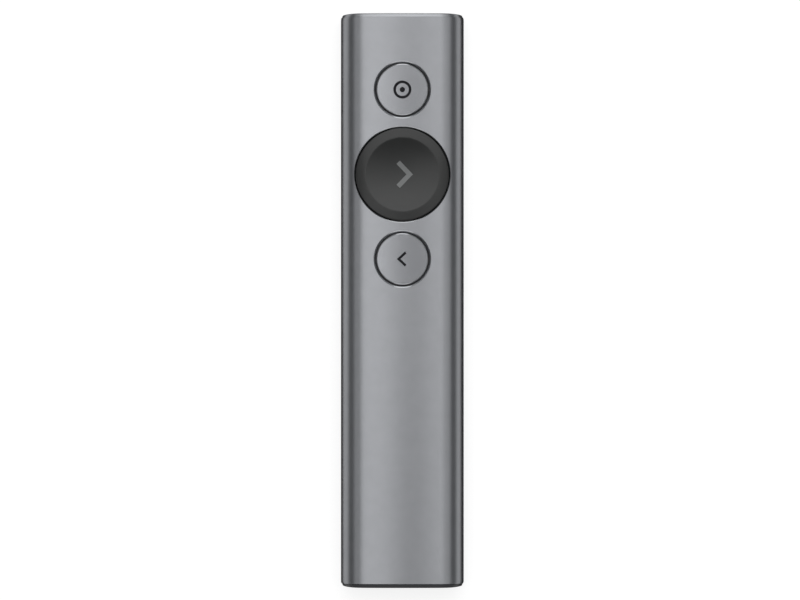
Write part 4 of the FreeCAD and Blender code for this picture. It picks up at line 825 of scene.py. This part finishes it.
def end_plate(net, joint, face, spigot_length, hole):
    """A plate from the joint to the face: a profile carried round the outline and closed on itself.

    The wall ends where the bowed face begins, and how far the face falls back depends on where
    the wall ends, so the two are worked out in turns until they agree.
    """
    way, thickness = math.copysign(1, face - joint), abs(face - joint)
    drawn = drawn_in(columns, joint)
    profile = []

    def carry(inset, rise):
        x, z = outline(columns, inset)
        profile.append(net.add(x, joint + way * rise, z))

    height = thickness
    for _ in range(FITTING_ROUNDS):
        wall = height - RIM * (1 - math.sin(LEAN))
        rim_inset = drawn + wall * math.tan(LEAN) + RIM * math.cos(LEAN)
        height = thickness - face_bow(outline(columns, rim_inset)[0])
    for share in np.linspace(0, 1, LEAN_STEPS + 1):
        carry(drawn + wall * share * math.tan(LEAN), wall * share)
    for turn in np.linspace(LEAN, QUARTER, RIM_STEPS + 1)[1:]:
        carry(rim_inset - RIM * math.cos(turn), height - RIM * (1 - math.sin(turn)))

    rim_x, rim_z = outline(columns, rim_inset)
    hole_x, hole_z = hole_edge(rim_x, rim_z, hole, HOLE_EDGE)
    for share in (np.arange(1, FACE_STEPS + 1) / FACE_STEPS) ** FACE_CROWDING:
        x, z = rim_x + (hole_x - rim_x) * share, rim_z + (hole_z - rim_z) * share
        profile.append(net.add(x, joint + way * (thickness - face_bow(x)), z))
    inner_x, inner_z = hole_edge(rim_x, rim_z, hole)
    for y in (face - way * (face_bow(inner_x) + HOLE_EDGE), joint - way * spigot_length):
        profile.append(net.add(inner_x, y, inner_z))
    carry(WALL + SPIGOT_GAP, -spigot_length)
    carry(WALL + SPIGOT_GAP, 0.0)
    net.weave(np.stack(profile + profile[:1]), around=True)


print(f"end plates: {(cad_high.y - sleeve_high.y) / MM:.1f} mm thick")

# %% [markdown]
# The nose plate has a small hole for the status light, which a clear pipe brings out from the
# board. The hole's place and size are measured from that pipe in the CAD model, so the two fit
# whatever the sizes are.

# %% Nose plate


def places(node):
    """The corner points of a CAD node, one row each."""
    points = np.empty(3 * len(frame["nodes"][node].data.vertices))
    frame["nodes"][node].data.vertices.foreach_get("co", points)
    return points.reshape(-1, 3)


LIGHT_GAP = 0.05 * MM
NOSE_SPIGOT = 0.6 * MM
pipe = places("light_pipe")
pipe = pipe[pipe[:, 1] > sleeve_high.y]
pipe_low, pipe_high = pipe[:, [0, 2]].min(axis=0), pipe[:, [0, 2]].max(axis=0)
light_radius = (pipe_high[0] - pipe_low[0]) / 2 + LIGHT_GAP
light_hole = {
    "centre": (pipe_low + pipe_high) / 2,
    "half": np.full(2, light_radius),
    "corner": light_radius,
}
nose = Net()
end_plate(nose, sleeve_high.y, cad_high.y, NOSE_SPIGOT, light_hole)
nose.make("nose_cap_fine", "housing", "nose_cap", [blasted_metal])
print(f"light hole: {2 * light_radius / MM:.2f} mm across")

# %% [markdown]
# The tail plate is moulded, so it has what a mould can make in one shot: a mouth that the receiver
# slides through, and two hooks behind it that snap into the chassis. A hook is a flat outline with
# a thickness, seen when the receiver is out.

# %% Tail plate
MOUTH_GAP = 0.2 * MM
MOUTH_CORNER = 1.3 * MM
TAIL_SPIGOT = 2.0 * MM
HOOK_BARB = 0.25 * MM
HOOK_TIP = 1.0 * MM
tail_black = finish("tail_black", (0.028, 0.028, 0.031), roughness=0.42, grain=0.07 * MM)
receiver_low, receiver_high = (np.array(corner)[[0, 2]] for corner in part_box("receiver_housing"))
mouth = {
    "centre": (receiver_low + receiver_high) / 2,
    "half": (receiver_high - receiver_low) / 2 + MOUTH_GAP,
    "corner": MOUTH_CORNER,
}
tail = Net()
end_plate(tail, sleeve_low.y, cad_low.y, TAIL_SPIGOT, mouth)

hooks = places("tail_cap")
hooks = hooks[hooks[:, 1] > sleeve_low.y + TAIL_SPIGOT + SPIGOT_GAP]
inside, barb = np.abs(hooks[:, 0]).min(), np.abs(hooks[:, 0]).max()
arm, tip = barb - HOOK_BARB, hooks[:, 1].max()
base, catch = sleeve_low.y + TAIL_SPIGOT - RIM, tip - HOOK_TIP
hook_x = np.array([inside, arm, arm, barb, arm, inside])
hook_y = np.array([base, base, catch, catch, tip, tip])
hook_ends = np.array([[hooks[:, 2].min()], [hooks[:, 2].max()]])
for side in (-1, 1):
    rings = tail.add(side * hook_x, hook_y, hook_ends)
    tail.weave(rings, around=True)
    for ring, height in zip(rings, hook_ends[:, 0]):
        tail.close(ring, side * (inside + arm) / 2, catch + HOOK_BARB, height)
tail.make("tail_cap_fine", "housing", "tail_cap", [tail_black])
print(f"mouth: {2 * mouth['half'][0] / MM:.1f} by {2 * mouth['half'][1] / MM:.2f} mm")

# %% [markdown]
# ## The round caps
#
# A small button is a turned aluminium disc with a crown much like the tube's. A cylinder with a
# bevel is the quick way, but it stays flat. So the cap is worked out in rings: a radius for each
# row and a direction for each column, with the height taken from the crown. In the photograph the
# shading changes more slowly across the small caps than across the tube, and goes further, so
# their crown is flatter and their blasting finer. A bevel round them catches a thin line of light.

# %% Small caps
CAP_STEPS = 224
CAP_RINGS = 15
SMALL_PROUD = 0.05 * MM
SMALL_CROWN = 100.0 * MM
SMALL_BEVEL = 0.18 * MM
SMALL_BEVEL_STEPS = 4


def directions(steps=CAP_STEPS):
    """Even directions all the way round, counted from +X."""
    return np.arange(steps) * 2 * math.pi / steps


def small_height(x, y=0.0):
    """The top of a small cap: an arc across the clicker, straight along it."""
    return sleeve_high.z + SMALL_PROUD - SMALL_CROWN + np.sqrt(SMALL_CROWN**2 - x**2) + 0 * y


def small_cap(node, body):
    """A metal cap: rings at even radii under the crown, a cut bevel, and a wall straight down."""
    low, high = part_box(node)
    middle, radius = cap_centre(node)
    turn = directions()
    net = Net()
    across, along = np.cos(turn), np.sin(turn)
    flat_radius = radius - SMALL_BEVEL
    radii = np.linspace(0, flat_radius, CAP_RINGS + 1)[1:, None]
    top = net.add(radii * across, middle + radii * along, small_height(radii * across))
    net.weave(top, around=True)
    net.close(top[0], 0.0, middle, small_height(0.0))
    radii, depth = bevel(flat_radius, -SMALL_BEVEL, SMALL_BEVEL_STEPS)
    edge = net.add(radii * across, middle + radii * along, small_height(flat_radius * across) - depth)
    foot = net.add(radius * across, middle + radius * along, low.z)
    net.weave(np.concatenate([top[-1:], edge]), around=True, coat=1)
    net.weave(np.stack([edge[-1], foot]), around=True)
    net.close(foot, 0.0, middle, low.z)
    net.make(node + "_fine", body, node, [button_metal, cut_metal], sharp=METAL_SHARP)


small_cap("pointer_cap", "pointer_button")
small_cap("back_cap", "back_button")

# %% [markdown]
# ## The dished button
#
# The large button is dark plastic with a soft touch. Its rim follows the crown, and a hollow for
# the thumb is sunk into it. Sculpting it by eye would never make its edge a true circle, so the
# hollow is a formula: an arc along the clicker, swung across it about a line above the face. The
# swing is flatter than the arc by the fall of the crown, so hollow and rim meet in a circle.
# Taking the lower of the two surfaces, softly, gives the rim its worn edge.

# %% Dish
NEXT_PROUD = 0.15 * MM
RIM_SLOPE = 0.07
DISH_RADIUS = 8.4 * MM
DISH_DEPTH = 1.1 * MM
DISH_EDGE = 0.05 * MM

next_low, next_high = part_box("next_cap")
next_middle, next_radius = cap_centre("next_cap")
next_crown = CROWN_RADIUS + NEXT_PROUD
fall = next_crown - math.sqrt(next_crown**2 - DISH_RADIUS**2)
arc_radius = (DISH_RADIUS**2 + DISH_DEPTH**2) / (2 * DISH_DEPTH)
swing_depth = DISH_DEPTH - fall
swing_radius = (DISH_RADIUS**2 + swing_depth**2) / (2 * swing_depth)
dish_bottom = next_high.z - DISH_DEPTH


def dish_height(x, y):
    """The height of the thumb hollow over x and y: its arc along y, swung about a line above it."""
    rise = arc_radius - np.sqrt(arc_radius**2 - (y - next_middle) ** 2)
    return dish_bottom + swing_radius - np.sqrt((swing_radius - rise) ** 2 - x**2)


def button_height(x, y):
    """The lower of rim and hollow, with a soft turn between them. The rim falls a little outwards."""
    outside = np.maximum(np.hypot(x, y - next_middle) - DISH_RADIUS, 0.0)
    rim, hollow = face_height(x, NEXT_PROUD) - RIM_SLOPE * outside, dish_height(x, y)
    apart = np.sqrt((rim - hollow) ** 2 + DISH_EDGE**2)
    return (rim + hollow - apart) / 2


print(f"dish: arc of {arc_radius / MM:.1f} mm, swung at {swing_radius / MM:.1f} mm")

# %% [markdown]
# The button is rings again, and its height is the formula above. Evenly spaced rings would blur
# the hollow's edge, so they crowd there and on the rounding outside.

# %% Dished button
NEXT_ROUNDING = 0.16 * MM
EDGE_ZONE = 12 * DISH_EDGE
BUTTON_STEPS = 288
# Points across the hollow, its edge, the rim and the rounding outside.
BUTTON_POINTS = (22, 25, 6, 9)


def dished_button():
    """The large button, in rings that lie closer at the hollow's edge and at the outer rounding."""
    turn = directions(BUTTON_STEPS)
    across, along = np.cos(turn), np.sin(turn)
    flat_end = next_radius - NEXT_ROUNDING
    radii = joined(
        np.linspace(0, DISH_RADIUS - EDGE_ZONE, BUTTON_POINTS[0]),
        np.linspace(DISH_RADIUS - EDGE_ZONE, DISH_RADIUS + EDGE_ZONE, BUTTON_POINTS[1]),
        np.linspace(DISH_RADIUS + EDGE_ZONE, flat_end, BUTTON_POINTS[2]),
        flat_end + NEXT_ROUNDING * np.sin(np.linspace(0, QUARTER, BUTTON_POINTS[3])),
    )[1:, None]
    sink = NEXT_ROUNDING - np.sqrt(np.maximum(NEXT_ROUNDING**2 - np.maximum(radii - flat_end, 0) ** 2, 0))
    x, y = radii * across, next_middle + radii * along
    net = Net()
    top = net.add(x, y, button_height(x, y) - sink)
    net.weave(top, around=True)
    net.close(top[0], 0.0, next_middle, dish_bottom)
    foot = net.add(x[-1], y[-1], next_low.z)
    net.weave(np.stack([top[-1], foot]), around=True)
    net.close(foot, 0.0, next_middle, next_low.z)
    net.make("next_cap_fine", "next_button", "next_cap", [soft_touch])


dished_button()

# %% [markdown]
# ## The signs on the buttons
#
# The small metal buttons carry dark signs: a ring with a dot for the pointer, and an open arrow for
# going back. The large button carries a wider, pale arrow. Real ones are etched or printed, and
# so thin that a finger hardly feels them. A sign could be a texture, but an edge drawn by geometry
# stays crisp from any distance. Each sign here is a strip laid along a path, with its own little
# thickness, whose height follows the surface that it lies on.

# %% Sign helper
SIGN_RISE = 0.012 * MM
SIGN_SINK = 0.06 * MM
# A strip's cross-section: how far across each of its points lies, and how high.
STRIP_ACROSS = np.array([-1.0, -1.0, -0.4, 0.4, 1.0, 1.0])
STRIP_RISE = np.array([-SIGN_SINK, SIGN_RISE, SIGN_RISE, SIGN_RISE, SIGN_RISE, -SIGN_SINK])


def strip(net, middle, across, surface):
    """A strip laid on a surface. Its points are the middle line plus shares of the vector across."""
    flat = middle[:, None, :] + STRIP_ACROSS[None, :, None] * across[:, None, :]
    x, y = flat[..., 0], flat[..., 1]
    return net.add(x, y, surface(x, y) + STRIP_RISE)


def arrow(net, tip, reach, rise, width, surface, steps=14):
    """An open arrow: two arms that meet at a mitred tip. They reach to its side, and rise and fall.

    Across an arm the vector is its normal, and at the tip it lies along the arrow's own line, longer
    by the mitre, so both edges of each arm stay straight.
    """
    arm = math.hypot(reach, rise)
    mitre = np.array([math.copysign(width / 2 * arm / rise, reach), 0.0])
    normal = np.array([math.copysign(rise, reach), abs(reach)]) / arm * width / 2
    stations = np.array([-1.0, 0.0, 1.0])
    t = np.linspace(-1, 1, 2 * steps + 1)
    middle = np.stack([tip[0] - mitre[0] - reach * np.abs(t), tip[1] + rise * t], axis=-1)
    across = np.stack([
        np.interp(t, stations, [normal[0], mitre[0], normal[0]]),
        np.interp(t, stations, [-normal[1], mitre[1], normal[1]]),
    ], axis=-1)
    grid = strip(net, middle, across, surface)
    net.weave(grid, around=True)
    for end in (0, -1):
        x, y = middle[end]
        net.close(grid[end], x, y, surface(x, y) - SIGN_SINK / 3)


print(f"signs: {SIGN_RISE / MM} mm proud of their buttons")

# %% [markdown]
# The signs' sizes were measured in the photograph. Two inks are enough: a dark matt one on metal,
# and a pale one on the dark button.

# %% Signs
RING_RADIUS = 1.76 * MM
RING_WIDTH = 0.6 * MM
RING_STEPS = 96
DOT_RADIUS = 0.6 * MM
# An arrow's tip from the middle of its cap, its reach from there, its rise, and its line's width.
BACK_ARROW = (-1.27 * MM, -1.6 * MM, 1.5 * MM, 0.58 * MM)
NEXT_ARROW = (2.4 * MM, 2.62 * MM, 2.75 * MM, 1.06 * MM)
INK = {"grain": 0.05 * MM, "relief": 0.001 * MM}
dark_ink = finish("dark_ink", (0.012, 0.012, 0.014), roughness=0.6, gloss=0.1, **INK)
pale_ink = finish("pale_ink", (0.14, 0.145, 0.145), roughness=0.45, **INK)


def pointer_sign():
    """A ring, as a strip round a circle, and a dot, as a disc with an edge."""
    middle, _ = cap_centre("pointer_cap")
    turn = directions(RING_STEPS)
    around = np.stack([np.cos(turn), np.sin(turn)], axis=-1)
    net = Net()
    circle = np.array([0.0, middle]) + RING_RADIUS * around
    ring = strip(net, circle, RING_WIDTH / 2 * around, small_height)
    net.weave(np.concatenate([ring, ring[:1]]), around=True)
    radii = DOT_RADIUS * np.array([0.5, 1.0, 1.0])[:, None]
    x, y = radii * around[:, 0], middle + radii * around[:, 1]
    dot = net.add(x, y, small_height(x, y) + np.array([SIGN_RISE, SIGN_RISE, -SIGN_SINK])[:, None])
    net.weave(dot, around=True)
    net.close(dot[0], 0.0, middle, small_height(0.0) + SIGN_RISE)
    net.close(dot[-1], 0.0, middle, small_height(0.0) - SIGN_SINK)
    net.make("pointer_sign", "pointer_button", None, [dark_ink])


def arrow_sign(name, body, node, sizes, surface, ink):
    """An open arrow on a button, with its tip placed from the cap's centre."""
    tip, reach, rise, width = sizes
    net = Net()
    arrow(net, (tip, cap_centre(node)[0]), reach, rise, width, surface)
    net.make(name, body, None, [ink])


pointer_sign()
arrow_sign("back_sign", "back_button", "back_cap", BACK_ARROW, small_height, dark_ink)
arrow_sign("next_sign", "next_button", "next_cap", NEXT_ARROW, button_height, pale_ink)

# %% [markdown]
# ## A finish for every other piece
#
# The pieces inside show at the mouth of the tail, through the gaps round the buttons and when the
# receiver is out. Their CAD shapes are right, so only their material slots are filled. Each gets
# the finish of its own stuff: moulded plastic has the fine pits of a spark-cut mould, sheet steel
# has lines along the way it was rolled, foil is creased, foam has cells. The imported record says
# which slot a node has, so one table dresses them all.

# %% Finishes inside
ROLLED_ALONG = (1, 0.08, 1)
ROLLED_ACROSS = (0.08, 1, 1)
FINISHES = {
    "sleeve_metal": blasted_metal,
    "button_metal": button_metal,
    "dish_plastic": soft_touch,
    "tail_plastic": tail_black,
    "inner_plastic": finish("moulded_dark", (0.05, 0.05, 0.055), roughness=0.55, grain=0.12 * MM),
    "carrier_plastic": finish("moulded_grey", (0.07, 0.07, 0.075), roughness=0.5, grain=0.12 * MM),
    "switch_plastic": finish("switch_black", (0.06, 0.06, 0.06), roughness=0.4, grain=0.08 * MM),
    "board": finish("board_mask", (0.02, 0.05, 0.04), roughness=0.25, grain=0.3 * MM, relief=0.008 * MM,
                    mottle=0.3),
    "chip_plastic": finish("chip_black", (0.03, 0.03, 0.03), roughness=0.6, grain=0.05 * MM),
    "chip_ceramic": finish("chip_white", (0.75, 0.73, 0.68), roughness=0.45, grain=0.05 * MM,
                           mottle=0.04),
    "light_plastic": finish("clear_plastic", (0.86, 0.88, 0.88), roughness=0.15, grain=0.2 * MM,
                            relief=0.001 * MM),
    "bright_steel": finish("bright_steel", (0.62, 0.62, 0.63), metallic=1.0, roughness=0.28,
                           grain=0.06 * MM, stretch=ROLLED_ALONG),
    "screw_steel": finish("black_zinc", (0.2, 0.2, 0.21), metallic=1.0, roughness=0.35, grain=0.1 * MM),
    "weight_metal": finish("sintered_metal", (0.4, 0.4, 0.41), metallic=1.0, roughness=0.5,
                           grain=0.06 * MM, relief=0.008 * MM),
    "boot_rubber": finish("rubber", (0.03, 0.03, 0.03), roughness=0.75, grain=0.1 * MM),
    "battery_foil": finish("creased_foil", (0.68, 0.69, 0.7), metallic=1.0, roughness=0.3, grain=0.9 * MM,
                           relief=0.03 * MM),
    "pad_foam": finish("foam", (0.08, 0.08, 0.08), roughness=0.9, grain=0.25 * MM, relief=0.05 * MM),
    "tab_nickel": finish("nickel_strip", (0.66, 0.64, 0.6), metallic=1.0, roughness=0.3, grain=0.06 * MM,
                         stretch=ROLLED_ACROSS),
    "tongue_plastic": finish("tongue_black", (0.05, 0.05, 0.055), roughness=0.4, grain=0.08 * MM),
    "contact_gold": finish("gold_plate", (0.83, 0.66, 0.3), metallic=1.0, roughness=0.2, grain=0.05 * MM,
                           relief=0.001 * MM),
}
for part in frame["record"]["subparts"]:
    materials = frame["nodes"][part["node"]].data.materials
    materials.clear()
    materials.append(FINISHES[part["material_slot"]])
